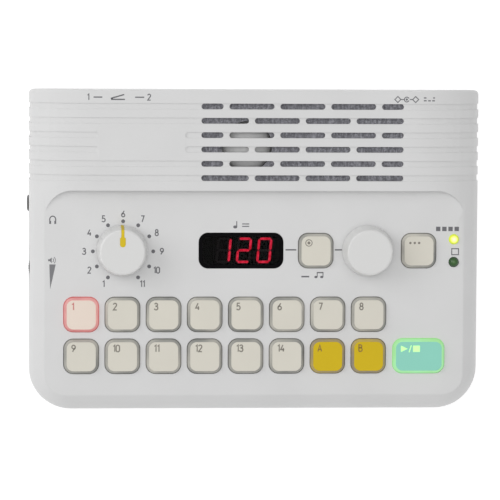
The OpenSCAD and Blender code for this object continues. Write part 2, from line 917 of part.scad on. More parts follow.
// The pointer's broad end: round towards the middle, shouldered towards the edge
module pointer_tongue(from, to, r) {
    translate([0, from + r])
        circle(r = r);
    translate([-r, from + r])
        square([2 * r, to - from - 2 * r + 0.8]);
    translate([-r + 0.5, from + r])
        square([2 * r - 1, to - from - r]);
}

// The knob's own outside, inset by a depth, kept where the pointer runs
module pointer_zone(inset) {
    r = knob_d / 2 - inset;
    rotate_extrude($fn = 96)
        polygon(concat(
            [[0, -cut], [r - 0.3, -cut], [r - 0.3, 0], [r, 0.3]],
            knob_edge(r, knob_h - inset),
            [[0, knob_h - inset]]
        ));
}

module pointer_solid(grow, low, out) {
    intersection() {
        translate([0, 0, low])
            linear_extrude(knob_h + 2 * cut - low)
                pointer_plan(grow);
        difference() {
            pointer_zone(-out);
            pointer_zone(pointer_depth);
        }
    }
}

module selector_knob() {
    color(shell_white)
        on_panel(across(selector_x), control_v, knob_gap)
            difference() {
                knob_body();
                pointer_solid(0.03, -cut, 0.5);
            }
}

module selector_pointer() {
    color(mustard)
        on_panel(across(selector_x), control_v, knob_gap)
            pointer_solid(0, 0.4, 0.05);
}

module tempo_knob() {
    color(shell_white)
        on_panel(across(tempo_x), control_v, knob_gap)
            knob_body();
}

module knob_shaft(x) {
    color(metal)
        on_panel(across(x), control_v, board_top_w + 1)
            cylinder(d = shaft_d, h = board_drop - 1 + knob_gap + knob_h - 1.8);
}

module selector_shaft() { knob_shaft(selector_x); }
module tempo_shaft() { knob_shaft(tempo_x); }

// Body of a rotary control: a can on the board and a bush up through the panel
module rotary_body(x, size) {
    on_panel(across(x), control_v, board_top_w)
        difference() {
            union() {
                linear_extrude(board_drop - wall - 0.3)
                    square(size, center = true);
                cylinder(d = shaft_d + 2 * bush_wall, h = board_drop + knob_gap + 1.2);
            }
            translate([0, 0, 1 - 0.1])
                cylinder(d = shaft_d + 2 * slide_gap, h = board_drop + 2 * cut);
        }
}

module selector_switch() { color(metal) rotary_body(selector_x, selector_can); }
module tempo_encoder() { color(metal) rotary_body(tempo_x, encoder_can); }

module volume_wheel() {
    teeth = 48;
    notch = 0.35;
    color("#3a3b3d")
        on_panel(wheel_x, wheel_v, wheel_mid_w - wheel_t / 2) {
            difference() {
                cylinder(d = wheel_d, h = wheel_t, $fn = 96);
                for (i = [0:teeth - 1])
                    rotate(i * 360 / teeth)
                        translate([wheel_d / 2, 0, -cut])
                            cylinder(r = notch, h = wheel_t + 2 * cut, $fn = 4);
            }
            cylinder(d = wheel_shaft_d, h = wheel_t + wheel_lift + 2 * pot_h / 3);
        }
}

module volume_pot() {
    color("#2b4a7a")
        on_panel(wheel_x + 1, wheel_v, board_under_w - pot_h)
            difference() {
                linear_extrude(pot_h)
                    square(pot_side, center = true);
                translate([-1, 0, -cut])
                    cylinder(d = wheel_shaft_d + 2 * slide_gap, h = cut + 2 * pot_h / 3 + 0.2);
            }
}

// ---- buttons ----

// A cap with a flange under the panel, a sloped grey side and a raised face
module button_cap(w) {
    side_h = button_rise - face_t;
    len = button_size;
    r = hole_corner_r - button_gap;
    face_r = r - face_inset;
    pocket = 2.2;
    difference() {
        union() {
            translate([0, 0, flange_w0 - flange_t])
                rounded_block([w + 2 * (button_gap + flange_grow), len + 2 * (button_gap + flange_grow)],
                    r + button_gap + flange_grow, flange_t);
            translate([0, 0, flange_w0 - eps])
                rounded_block([w, len], r, 0.5 - flange_w0);
            hull() {
                translate([0, 0, 0.5 - eps])
                    linear_extrude(eps)
                        rounded_rect([w, len], r, $fn = 32);
                translate([0, 0, side_h - eps])
                    linear_extrude(eps)
                        rounded_rect([w - 1.4 * face_inset, len - 1.4 * face_inset], r - 0.5, $fn = 32);
            }
            translate([0, 0, side_h - eps])
                rounded_block([w - 2 * face_inset, len - 2 * face_inset], face_r, face_t + eps);
        }
        translate([0, 0, flange_w0 - flange_t - cut])
            difference() {
                rounded_block([w - 2 * pocket, len - 2 * pocket], r - 1, cut + flange_t + wall + seat_gap);
                cylinder(d = 4.4, h = 10);
            }
    }
    translate([0, 0, post_end_w])
        cylinder(d = 4.4, h = -post_end_w);
}

module square_button(x, v, tone) {
    color(tone)
        on_panel(x, v)
            button_cap(button_size);
}

module pad(i) { square_button(pad_spot(i - 1)[0], pad_spot(i - 1)[1], cream); }
module fill_button(i) { square_button(pad_spot(13 + i)[0], pad_v, mustard); }
module tap_button() { square_button(across(tap_x), control_v, cream); }
module mode_button() { square_button(across(mode_x), control_v, cream); }

module start_stop_button() {
    color("#8fd8bf")
        on_panel(across(start_x), pad_v)
            button_cap(start_size_w);
}

key_spots = concat(
    [for (i = [0:15]) pad_spot(i)],
    [[across(start_x), pad_v], [across(tap_x), control_v], [across(mode_x), control_v]]
);

module key_switches() {
    plunger_top = post_end_w - button_travel - 0.1;
    color(black)
        for (p = key_spots)
            on_panel(p[0], p[1], board_top_w) {
                linear_extrude(switch_h)
                    square(6, center = true);
                cylinder(d = 3.4, h = plunger_top - board_top_w);
            }
}

module pad_leds() {
    color("white")
        for (p = key_spots)
            on_panel(p[0] + 5.2, p[1] + 5.2, board_top_w)
                linear_extrude(0.8)
                    square([2, 1.25], center = true);
}

// Round lamp with its flange, dome and two legs down to the board
module lamp(v) {
    dome = lamp_d / 2;
    on_panel(lamp_x, v) {
        translate([0, 0, panel_under - 1.1])
            cylinder(d = lamp_flange_d, h = 1);
        translate([0, 0, panel_under - 0.2])
            cylinder(d = lamp_d, h = wall - 0.3);
        intersection() {
            translate([0, 0, -0.6])
                sphere(r = dome);
            translate([0, 0, -0.6])
                cylinder(d = lamp_d, h = dome + cut);
        }
        for (x = [-1.27, 1.27])
            translate([x - 0.25, -0.25, board_top_w])
                cube([0.5, 0.5, board_drop - wall - 1]);
    }
}

module pattern_lamp() { color("#e8e04a") lamp(lamp_v[0]); }
module pad_lamp() { color("#24512c") lamp(lamp_v[1]); }

// ---- boards ----

module main_board() {
    color("#1f5a36")
        on_panel(0, 0, board_under_w)
            linear_extrude(board_t)
                difference() {
                    translate([0, (board_front + board_rear) / 2])
                        rounded_rect([2 * board_half, board_rear - board_front], 3);
                    for (p = post_spots)
                        translate(p)
                            circle(d = small_screw_d + 0.4);
                }
}

module board_screws() {
    color(metal)
        for (p = post_spots)
            on_panel(p[0], p[1], board_under_w)
                pan_screw(small_screw_d, small_head_d, small_head_h, board_t + board_bite);
}

module rear_board() {
    post = boss_spots[4];
    color("#1f5a36")
        translate([0, 0, rear_board_h - board_t])
            linear_extrude(board_t)
                difference() {
                    translate([-rear_board_half, rear_board_y])
                        square([2 * rear_board_half, rear_board_len]);
                    translate(post)
                        circle(d = boss_d + 1);
                }
}

// Flat cable from the main board's underside down to the rear board
module ribbon_cable() {
    joint_v = board_rear - 5;
    top_y = panel_y + joint_v * cos(panel_tilt) - board_under_w * sin(panel_tilt);
    top_h = panel_front_h + joint_v * sin(panel_tilt) + board_under_w * cos(panel_tilt);
    low_y = rear_board_y + 4;
    color("#c9c6bd")
        translate([across(ribbon_x) - ribbon_w / 2, 0, 0])
            rotate([90, 0, 90])
                linear_extrude(ribbon_w)
                    polygon([
                        [top_y, top_h], [top_y, top_h - 3], [low_y, rear_board_h + 3],
                        [low_y, rear_board_h], [low_y + ribbon_t, rear_board_h],
                        [low_y + ribbon_t, rear_board_h + 3.2],
                        [top_y + ribbon_t, top_h - 2.6], [top_y + ribbon_t, top_h]
                    ]);
}

// ---- speaker ----

module felt_plan() {
    v0 = groove_v(0) - groove_w / 2 - felt_margin / 2;
    v1 = groove_v(groove_rows - 1) + groove_w / 2 + 1.5;
    reach = across(grille_w) / 2 + felt_margin;
    translate([across(grille_x) - reach, v0])
        square([2 * reach, v1 - v0]);
}

module speaker_felt() {
    color("#4b4c50")
        on_panel(0, 0, felt_under_w)
            linear_extrude(felt_t)
                difference() {
                    felt_plan();
                    translate([speaker_x, speaker_v])
                        circle(d = cap_d - 1);
                    for (p = speaker_ears)
                        translate([speaker_x + p[0], speaker_v + p[1]])
                            circle(d = ear_post_d + 0.3);
                }
}

module speaker_frame() {
    r = cone_d / 2;
    rim = 1.2;
    back = magnet_d / 2 - 1;
    color(metal)
        on_panel(speaker_x, speaker_v, flange_top_w)
            difference() {
                union() {
                    translate([0, 0, -speaker_plate_t])
                        linear_extrude(speaker_plate_t)
                            difference() {
                                rounded_rect([flange_w, flange_len], ear_inset);
                                for (p = speaker_ears)
                                    translate(p)
                                        circle(d = small_screw_d + 0.4);
                            }
                    rotate_extrude($fn = 96)
                        polygon([
                            [r - 0.3, -speaker_plate_t], [r + rim, -speaker_plate_t],
                            [back, -basket_depth], [0, -basket_depth], [0, -basket_depth + 1],
                            [back - rim - 0.2, -basket_depth + 1]
                        ]);
                }
                translate([0, 0, -speaker_plate_t - 0.1])
                    cylinder(d = cone_d, h = speaker_plate_t + 0.1 + cut, $fn = 96);
                for (a = [0:60:300])
                    rotate(a + 30)
                        translate([back, -frame_window_w / 2, -basket_depth + 2])
                            cube([frame_window_w, frame_window_w, basket_depth - 4.6]);
            }
}

// The cone with its rolled surround, and the neck that carries the coil
module speaker_cone() {
    r = cone_d / 2 - 0.1;
    inner = r - surround_w;
    color("#2a2a2c")
        on_panel(speaker_x, speaker_v, flange_top_w)
            rotate_extrude($fn = 96)
                polygon([
                    [r, -1.6 * cone_t], [r, -0.5 * cone_t], [r - 0.3 * surround_w, 0.1],
                    [r - 0.6 * surround_w, 0.1], [inner, -surround_rise - cone_t],
                    [cap_d / 2, cap_base_w], [neck_r, neck_top_w], [neck_r, neck_top_w - neck_len],
                    [neck_r + cone_t, neck_top_w - neck_len], [neck_r + cone_t, neck_top_w - cone_t / 2],
                    [cap_d / 2, cap_base_w - cone_t], [inner, -surround_rise - 2 * cone_t]
                ]);
}

// Dome over the middle of the cone, with a straight foot glued to it
module dust_cap() {
    r = cap_d / 2;
    foot = cap_base_w + 0.02;
    dome = [for (a = [0:10:80]) [r * cos(a), foot + cap_foot + cap_rise * sin(a)]];
    under = [for (a = [80:-10:0]) [(r - cap_t) * cos(a), foot + cap_foot - cap_t + cap_rise * sin(a)]];
    top = foot + cap_foot + cap_rise;
    color("#a3a29c")
        on_panel(speaker_x, speaker_v, flange_top_w)
            rotate_extrude($fn = 96)
                polygon(concat(
                    [[r, foot]], dome, [[0, top], [0, top - cap_t]], under, [[r - cap_t, foot]]
                ));
}

module speaker_magnet() {
    color("#4a4b4d")
        on_panel(speaker_x, speaker_v, flange_top_w - basket_depth - magnet_t)
            rotate_extrude($fn = 96)
                polygon([
                    [0, 0], [magnet_d / 2 - 1, 0], [magnet_d / 2, 1], [magnet_d / 2, magnet_t - 1],
                    [magnet_d / 2 - 1, magnet_t], [0, magnet_t]
                ]);
}

module speaker_screws() {
    color(metal)
        for (p = speaker_ears)
            on_panel(speaker_x + p[0], speaker_v + p[1], flange_top_w - speaker_plate_t)
                pan_screw(small_screw_d, small_head_d, small_head_h, speaker_plate_t + small_bite);
}

// ---- jacks and power ----

module phones_jack() {
    inner = body_w / 2 - wall - 0.3;
    nose_r = phones_nose_d / 2;
    nose_len = wall + 0.3 + phones_out;
    color(black)
        on_panel(-inner, phones_v, phones_w)
            difference() {
                union() {
                    translate([0, -3, -2.9])
                        cube(phones_body);
                    rotate([0, -90, 0])
                        rotate_extrude($fn = 64)
                            polygon([
                                [0, -eps], [nose_r, -eps], [nose_r, nose_len - phones_out],
                                [nose_r - 0.15, nose_len - 0.6 * phones_out],
                                [nose_r - 0.55, nose_len - 0.25 * phones_out],
                                [nose_r - 1.2, nose_len - 0.05 * phones_out],
                                [nose_r - 1.6, nose_len], [0, nose_len]
                            ]);
                }
                translate([phones_len - 3, 0, 0])
                    rotate([0, -90, 0])
                        cylinder(d = phones_bore, h = phones_len + wall + 2 * cut);
            }
}

module foot_switch_jack() {
    color(black)
        difference() {
            union() {
                translate([-jack_size[0] / 2, rear_inner_y - 0.3 - jack_size[1], -jack_size[2] / 2])
                    cube(jack_size);
                translate([0, rear_inner_y - 0.4, 0])
                    rotate([-90, 0, 0])
                        cylinder(d = foot_switch_nose_d, h = wall + 0.3);
            }
            translate([0, rear_inner_y - jack_size[1] + 2, 0])
                rotate([-90, 0, 0])
                    cylinder(d = foot_switch_bore, h = jack_size[1] + wall + cut);
        }
}

module foot_switch_jacks() {
    for (x = foot_switch_spots)
        translate([x, 0, jack_mid_h])
            foot_switch_jack();
}

module dc_jack() {
    depth = 9.5;
    color(black)
        translate([across(dc_x), 0, dc_mid_h])
            difference() {
                union() {
                    translate([-dc_size[0] / 2, rear_inner_y - 0.3 - dc_size[1], -dc_size[2] / 2])
                        cube(dc_size);
                    translate([0, rear_inner_y - 0.4, 0])
                        rotate([-90, 0, 0])
                            cylinder(d = dc_nose_d, h = wall + 0.3);
                }
                translate([0, body_d / 2 - depth, 0])
                    rotate([-90, 0, 0])
                        ring(dc_bore, dc_pin_d, depth);
                translate([0, body_d / 2 - 0.8, 0])
                    rotate([-90, 0, 0])
                        cylinder(d = dc_bore, h = 0.8 + cut);
            }
}

module power_switch() {
    run = lever_size[0] + switch_travel + 0.6;
    opening_h = lever_size[2] + 0.4;
    color(metal)
        translate([across(switch_x), rear_inner_y - 0.3 - switch_size[1], rear_board_h])
            difference() {
                translate([-switch_size[0] / 2, 0, 0])
                    cube(switch_size);
                translate([-run / 2, 2.5, switch_mid_h - rear_board_h - opening_h / 2])
                    cube([run, switch_size[1], opening_h]);
            }
}

module power_slider() {
    root = rear_inner_y - 0.3 - switch_size[1] + 2.6;
    color(black)
        translate([across(switch_x) - switch_travel / 2, root, switch_mid_h])
            translate([-lever_size[0] / 2, 0, -lever_size[2] / 2])
                cube([lever_size[0], body_d / 2 - 0.3 - root, lever_size[2]]);
}

// ---- the parts ----

top_case();
bottom_case();
battery_door();
battery_contacts();
battery_springs();
rubber_feet();
case_screws();
display_window();
display_module();
display_segments();
selector_knob();
selector_pointer();
selector_shaft();
selector_switch();
tempo_knob();
tempo_shaft();
tempo_encoder();
volume_wheel();
volume_pot();
for (i = [1:14])
    pad(i);
fill_button(1);  // fill_button_1
fill_button(2);  // fill_button_2
start_stop_button();
tap_button();
mode_button();
key_switches();
pad_leds();
pattern_lamp();
pad_lamp();
main_board();
board_screws();
speaker_felt();
speaker_frame();
speaker_cone();
dust_cap();
speaker_magnet();
speaker_screws();
phones_jack();
foot_switch_jacks();
dc_jack();
power_switch();
power_slider();
rear_board();
ribbon_cable();
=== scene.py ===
import json
import math
import random

import bmesh
import bpy
from mathutils import Matrix, Vector, noise
from mathutils.bvhtree import BVHTree


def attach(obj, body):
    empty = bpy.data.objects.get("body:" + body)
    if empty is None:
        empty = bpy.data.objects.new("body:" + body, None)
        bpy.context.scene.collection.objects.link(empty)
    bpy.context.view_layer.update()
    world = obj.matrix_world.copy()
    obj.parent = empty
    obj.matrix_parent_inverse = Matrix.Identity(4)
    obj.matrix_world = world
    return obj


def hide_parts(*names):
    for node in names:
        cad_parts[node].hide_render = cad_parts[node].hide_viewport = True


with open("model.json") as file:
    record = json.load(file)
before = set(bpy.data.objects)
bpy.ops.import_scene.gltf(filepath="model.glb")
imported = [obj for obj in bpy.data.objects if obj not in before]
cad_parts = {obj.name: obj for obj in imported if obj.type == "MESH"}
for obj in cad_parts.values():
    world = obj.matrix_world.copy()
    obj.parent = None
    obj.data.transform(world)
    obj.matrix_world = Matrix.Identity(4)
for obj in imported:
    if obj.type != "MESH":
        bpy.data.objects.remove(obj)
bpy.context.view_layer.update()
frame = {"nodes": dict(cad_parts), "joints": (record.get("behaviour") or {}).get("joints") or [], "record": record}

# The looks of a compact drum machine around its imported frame. Blender works in metres. Places
# on the control panel are in millimetres, as in the part's own source: x to the right, v up
# the panel from its front edge and w out of it. MM turns millimetres into metres.

nodes = frame["nodes"]

MM = 0.001
tempo_joint = next(j for j in frame["joints"] if j["name"] == "tempo_turn")
TEMPO = Vector(tempo_joint["pos_m"])
TEMPO_V = 72.0
NORMAL = Vector(tempo_joint["axis"]).normalized()
ACROSS = Vector((1, 0, 0))
UPWARD = NORMAL.cross(ACROSS)
ORIGIN = TEMPO - TEMPO.x * ACROSS - TEMPO_V * MM * UPWARD


def on_panel(x, v, w=0.0):
    """A point in metres from its place on the panel in millimetres."""
    return ORIGIN + (x * ACROSS + v * UPWARD + w * NORMAL) * MM


def panel_box(node):
    """Lowest and highest x, v, w of a CAD node in panel millimetres."""
    places = [p.co - ORIGIN for p in nodes[node].data.vertices]
    axes = (ACROSS, UPWARD, NORMAL)
    low = [min(p.dot(a) for p in places) / MM for a in axes]
    high = [max(p.dot(a) for p in places) / MM for a in axes]
    return low, high


def panel_middle(node):
    """The x, v, w of the middle of a CAD node's box."""
    low, high = panel_box(node)
    return [(a + b) / 2 for a, b in zip(low, high)]


def link_object(name, data):
    """A new object in the scene."""
    obj = bpy.data.objects.new(name, data)
    bpy.context.scene.collection.objects.link(obj)
    return obj


def new_piece(name, mesh, material, body, replaced=()):
    """Turns a bmesh into an object that rides on a body."""
    bmesh.ops.recalc_face_normals(mesh, faces=mesh.faces)
    data = bpy.data.meshes.new(name)
    mesh.to_mesh(data)
    mesh.free()
    data.materials.append(MATERIALS[material])
    obj = link_object(name, data)
    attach(obj, body)
    for node in replaced:
        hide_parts(node)
    return obj


def add_band(mesh, here, there):
    """Quads between two rings of the same number of vertices."""
    for k in range(len(here)):
        m = (k + 1) % len(here)
        mesh.faces.new((here[k], here[m], there[m], there[k]))


def add_rod(mesh, rings):
    """Quads along a row of rings, and a face over each end."""
    for here, there in zip(rings, rings[1:]):
        add_band(mesh, here, there)
    mesh.faces.new(rings[0][::-1])
    mesh.faces.new(rings[-1])


# ---- camera, light and floor ----

CAMERA_AIM = Vector((-2.17, -0.4, 30)) * MM
CAMERA_LOOK = Vector((0.0664, 0.0304, -1.0))
CAMERA_DISTANCE = 1.6
CAMERA_ROLL = math.radians(-0.1)
PIXELS_PER_METRE = 2000.4
IMAGE_WIDTH = 500
SENSOR_MM = 36.0
NEAREST, FARTHEST = 0.05, 20

SKY_STRENGTH = 0.506
# Place, size and power of each light; both point at the middle of the floor
LIGHTS = {
    "key": (Vector((-1.45, 0.5, 1.25)), 1.4, 10.7),
    "ceiling": (Vector((0.0, 0.0, 2.0)), 2.0, 11.7),
}
FLOOR_HALF = 3.0


def make_camera():
    """Looks down from nearly overhead, with the front edge of the object at the bottom."""
    data = bpy.data.cameras.new("camera")
    camera = link_object("camera", data)
    look = CAMERA_LOOK.normalized()
    side = look.cross(Vector((0, 1, 0))).normalized()
    side = side * math.cos(CAMERA_ROLL) + side.cross(look) * math.sin(CAMERA_ROLL)
    top = side.cross(look)
    turn = Matrix((side, top, -look)).transposed()
    camera.matrix_world = Matrix.Translation(CAMERA_AIM - look * CAMERA_DISTANCE) @ turn.to_4x4()
    data.sensor_width = SENSOR_MM
    data.lens = PIXELS_PER_METRE * CAMERA_DISTANCE / IMAGE_WIDTH * SENSOR_MM
    data.clip_start = NEAREST
    data.clip_end = FARTHEST
    bpy.context.scene.camera = camera


def make_lights():
    """A white tent, brighter overhead, with a broad key light on the left."""
    bpy.context.scene.view_settings.view_transform = "Standard"
    world = bpy.data.worlds.new("studio")
    bpy.context.scene.world = world
    world.use_nodes = True
    sky = world.node_tree.nodes["Background"]
    sky.inputs["Color"].default_value = (1.0, 1.0, 1.0, 1)
    sky.inputs["Strength"].default_value = SKY_STRENGTH
    for name, (place, size, power) in LIGHTS.items():
        data = bpy.data.lights.new(name, "AREA")
        data.shape = "DISK"
        data.size = size
        data.energy = power
        light = link_object(name, data)
        light.location = place
        light.rotation_mode = "QUATERNION"
        light.rotation_quaternion = (-place).to_track_quat("-Z", "Y")


def make_floor():
    """Pale paper that glows a little, which keeps the shadows on it faint."""
    mesh = bpy.data.meshes.new("floor")
    corners = ((-1, -1), (1, -1), (1, 1), (-1, 1))
    mesh.from_pydata([(a * FLOOR_HALF, b * FLOOR_HALF, 0) for a, b in corners], [], [(0, 1, 2, 3)])
    floor = link_object("floor", mesh)
    paint = Paint("floor_paper", (166, 166, 166), 0.95)
    paint.glow((255, 255, 255), 0.75)
    mesh.materials.append(paint.material)


# ---- materials ----

# The colour sockets of a Mix node, and the range that most noise values lie in
MIX_A, MIX_B = 6, 7
NOISE_LOW, NOISE_HIGH = 0.3, 0.7


def linear(rgb):
    """A 0 to 255 screen colour as the linear colour that the shader takes."""
    def channel(c):
        c /= 255
        return c / 12.92 if c <= 0.04045 else ((c + 0.055) / 1.055) ** 2.4
    return (*[channel(c) for c in rgb], 1.0)


class Paint:
    """A procedural material that is built up step by step from object coordinates."""

    def __init__(self, name, colour, roughness, **sockets):
        self.material = bpy.data.materials.new(name)
        self.material.use_nodes = True
        self.tree = self.material.node_tree
        self.shader = self.tree.nodes["Principled BSDF"]
        self.shader.inputs["Roughness"].default_value = roughness
        for key, value in sockets.items():
            self.shader.inputs[key.replace("_", " ")].default_value = value
        self.colour = linear(colour)
        self.shader.inputs["Base Color"].default_value = self.colour
        self.where = self.node("ShaderNodeTexCoord").outputs["Object"]

    def feed(self, socket, value):
        """Links another node's socket to this one, or sets it to a plain value."""
        if isinstance(value, bpy.types.NodeSocket):
            self.tree.links.new(value, socket)
        else:
            socket.default_value = value

    def node(self, kind, *inputs, **settings):
        """A new node, with its first inputs in order; None leaves an input as it is."""
        made = self.tree.nodes.new(kind)
        for key, value in settings.items():
            setattr(made, key, value)
        for i, value in enumerate(inputs):
            if value is not None:
                self.feed(made.inputs[i], value)
        return made

    def noise(self, scale, detail=2.0, roughness=0.5, stretch=None):
        where = self.where
        if stretch:
            where = self.node("ShaderNodeVectorMath", where, stretch, operation="MULTIPLY").outputs[0]
        return self.node(
            "ShaderNodeTexNoise", where, None, scale, detail, roughness
        ).outputs["Fac"]

    def ramp(self, value, low, high):
        """A share that goes from 0 at low to 1 at high."""
        return self.node("ShaderNodeMapRange", value, low, high, 0.0, 1.0).outputs[0]

    def blend(self, share, first, second):
        made = self.node("ShaderNodeMix", share, data_type="RGBA")
        self.feed(made.inputs[MIX_A], first)
        self.feed(made.inputs[MIX_B], second)
        return made.outputs[2]

    def mix(self, share, colour):
        """Mixes the colour so far with another, by a share from 0 to 1."""
        self.colour = self.blend(share, self.colour, linear(colour))
        self.feed(self.shader.inputs["Base Color"], self.colour)

    def bump(self, value, strength, distance):
        made = self.node("ShaderNodeBump", strength, distance)
        self.feed(made.inputs["Height"], value)
        self.feed(self.shader.inputs["Normal"], made.outputs[0])

    def roughen(self, value, low, high):
        """Lets the roughness go from low to high with a noise."""
        made = self.node("ShaderNodeMapRange", value, NOISE_LOW, NOISE_HIGH, low, high)
        self.feed(self.shader.inputs["Roughness"], made.outputs[0])

    def glow(self, colour, strength):
        self.shader.inputs["Emission Color"].default_value = linear(colour)
        self.shader.inputs["Emission Strength"].default_value = strength

    def glow_between(self, share, first, second):
        """Emission that goes from one colour and strength to another by a share."""
        first, second = ([c * strength for c in linear(colour)] for colour, strength in (first, second))
        self.feed(self.shader.inputs["Emission Color"], self.blend(share, first, second))
        self.shader.inputs["Emission Strength"].default_value = 1.0

    def away(self, place):
        """Where a point lies from a place."""
        return self.node("ShaderNodeVectorMath", self.where, place, operation="SUBTRACT").outputs[0]

    def height(self):
        """How far a point lies out of the panel plane, in metres."""
        return self.node(
            "ShaderNodeVectorMath", self.away(ORIGIN), NORMAL, operation="DOT_PRODUCT"
        ).outputs["Value"]

    def distance_from(self, place):
        """Distance in metres from the panel's normal through a place on the panel."""
        across = self.node("ShaderNodeVectorMath", self.away(place), NORMAL, operation="CROSS_PRODUCT")
        return self.node("ShaderNodeVectorMath", across.outputs[0], operation="LENGTH").outputs["Value"]


def moulded(name, colour, roughness=0.5, grain=0.12, **sockets):
    """Injection-moulded plastic: a fine spark-eroded grain and a faint unevenness of tone."""
    paint = Paint(name, colour, roughness, **sockets)
    paint.mix(paint.ramp(paint.noise(scale=38), 0.35, 0.75), [c * 0.985 for c in colour])
    paint.bump(paint.noise(scale=5200, detail=3.0), strength=grain, distance=0.00006)
    paint.roughen(paint.noise(scale=700), roughness - 0.04, roughness + 0.05)
    return paint


def glossy(name, colour, roughness, **sockets):
    """Polished plastic, with faint smears."""
    paint = Paint(name, colour, roughness, **sockets)
    paint.roughen(paint.noise(scale=160, detail=4.0), roughness * 0.8, roughness * 1.5)
    return paint


def metal(name, colour, roughness):
    """Plated metal, with a cloudy tone."""
    paint = Paint(name, colour, roughness, Metallic=1.0)
    paint.mix(paint.ramp(paint.noise(scale=900), 0.4, 0.7), [c * 0.9 for c in colour])
    paint.roughen(paint.noise(scale=2500, detail=3.0), roughness - 0.08, roughness + 0.1)
    return paint


SHELL = (219, 219, 219)
CREAM = (221, 217, 205)
RING = (134, 135, 132)
MUSTARD = (214, 184, 8)
NO_GLOW = ((0, 0, 0), 0)

# A button's side fades into its printed face this far out of the panel
FACE_FADE = (2.00, 2.08)
# A knob's flank, painted lighter to stand in for light falling on it, fades into its darker top this far under its
# top
KNOB_PAINTED_LIGHT_FADE = (0.25, 0.05)
# A lamp's rim fades into its core this far from its middle, in metres
LAMP_FADE = (0.0019, 0.0004)


def make_cap(name, face, side, glow, **sockets):
    """A button: a printed face on top of a translucent body."""
    paint = Paint(name, side, 0.38, **sockets)
    on_face = paint.ramp(paint.height(), *[w * MM for w in FACE_FADE])
    paint.mix(on_face, face)
    paint.mix(paint.ramp(paint.noise(scale=60), 0.3, 0.9), [c * 0.98 for c in face])
    paint.bump(paint.noise(scale=4200, detail=3.0), strength=0.08, distance=0.00005)
    paint.glow_between(on_face, *glow)
    return paint


def make_knob():
    """Satin plastic with painted light: the flank is painted lighter than the top, as if it caught more light."""
    # Painted light: the flank's colour is lighter than the top's, which is the same plastic
    paint = moulded("knob_plastic", (227, 227, 226), 0.36, 0.05)
    top = panel_box("tempo_knob")[1][2]
    on_face = paint.ramp(paint.height(), *[(top - depth) * MM for depth in KNOB_PAINTED_LIGHT_FADE])
    paint.mix(on_face, (219, 219, 218))
    return paint


def make_felt(name, base, light, dark):
    """Pressed felt: light fibres one way, dark gaps the other way."""
    paint = Paint(name, base, 0.95, Sheen_Weight=0.35, Sheen_Roughness=0.6)
    fibres = paint.noise(scale=900, detail=4.0, roughness=0.7, stretch=(1.0, 0.35, 1.0))
    gaps = paint.noise(scale=1500, detail=3.0, roughness=0.7, stretch=(0.4, 1.0, 1.0))
    paint.mix(paint.ramp(fibres, 0.42, 0.66), light)
    paint.mix(paint.ramp(gaps, 0.5, 0.7), dark)
    paint.bump(fibres, strength=0.8, distance=0.0004)
    return paint


def make_board():
    """Green lacquer; the joints of a brick pattern are its tracks."""
    black, white, scale, track_w = (0, 0, 0, 1), (1, 1, 1, 1), 130.0, 0.03
    paint = Paint("circuit_board", (18, 70, 40), 0.35)
    tracks = paint.node(
        "ShaderNodeTexBrick", paint.where, black, black, white, scale, track_w
    ).outputs["Fac"]
    paint.mix(paint.ramp(tracks, 0.4, 0.6), (40, 104, 62))
    paint.bump(tracks, strength=0.3, distance=0.00005)
    return paint


def make_lamp(name, node, rim, core, strength=0.0):
    """A round lens, brighter in the middle."""
    paint = Paint(name, rim, 0.12)
    place = on_panel(*panel_middle(node)[:2])
    inner = paint.ramp(paint.distance_from(place), *LAMP_FADE)
    paint.mix(inner, core)
    if strength:
        paint.glow_between(inner, (rim, strength * 0.55), (core, strength))
    return paint


def make_lit_segment():
    """A glowing bar, unevenly bright."""
    paint = Paint("lit_segment", (120, 10, 20), 0.4)
    uneven = paint.ramp(paint.noise(scale=700), 0.4, 0.65)
    paint.glow_between(uneven, ((255, 26, 64), 5.2), ((255, 60, 92), 7.8))
    return paint


def make_lit_icon():
    paint = Paint("lit_icon", (190, 250, 170), 0.4)
    paint.glow((170, 255, 120), 0.55)
    return paint


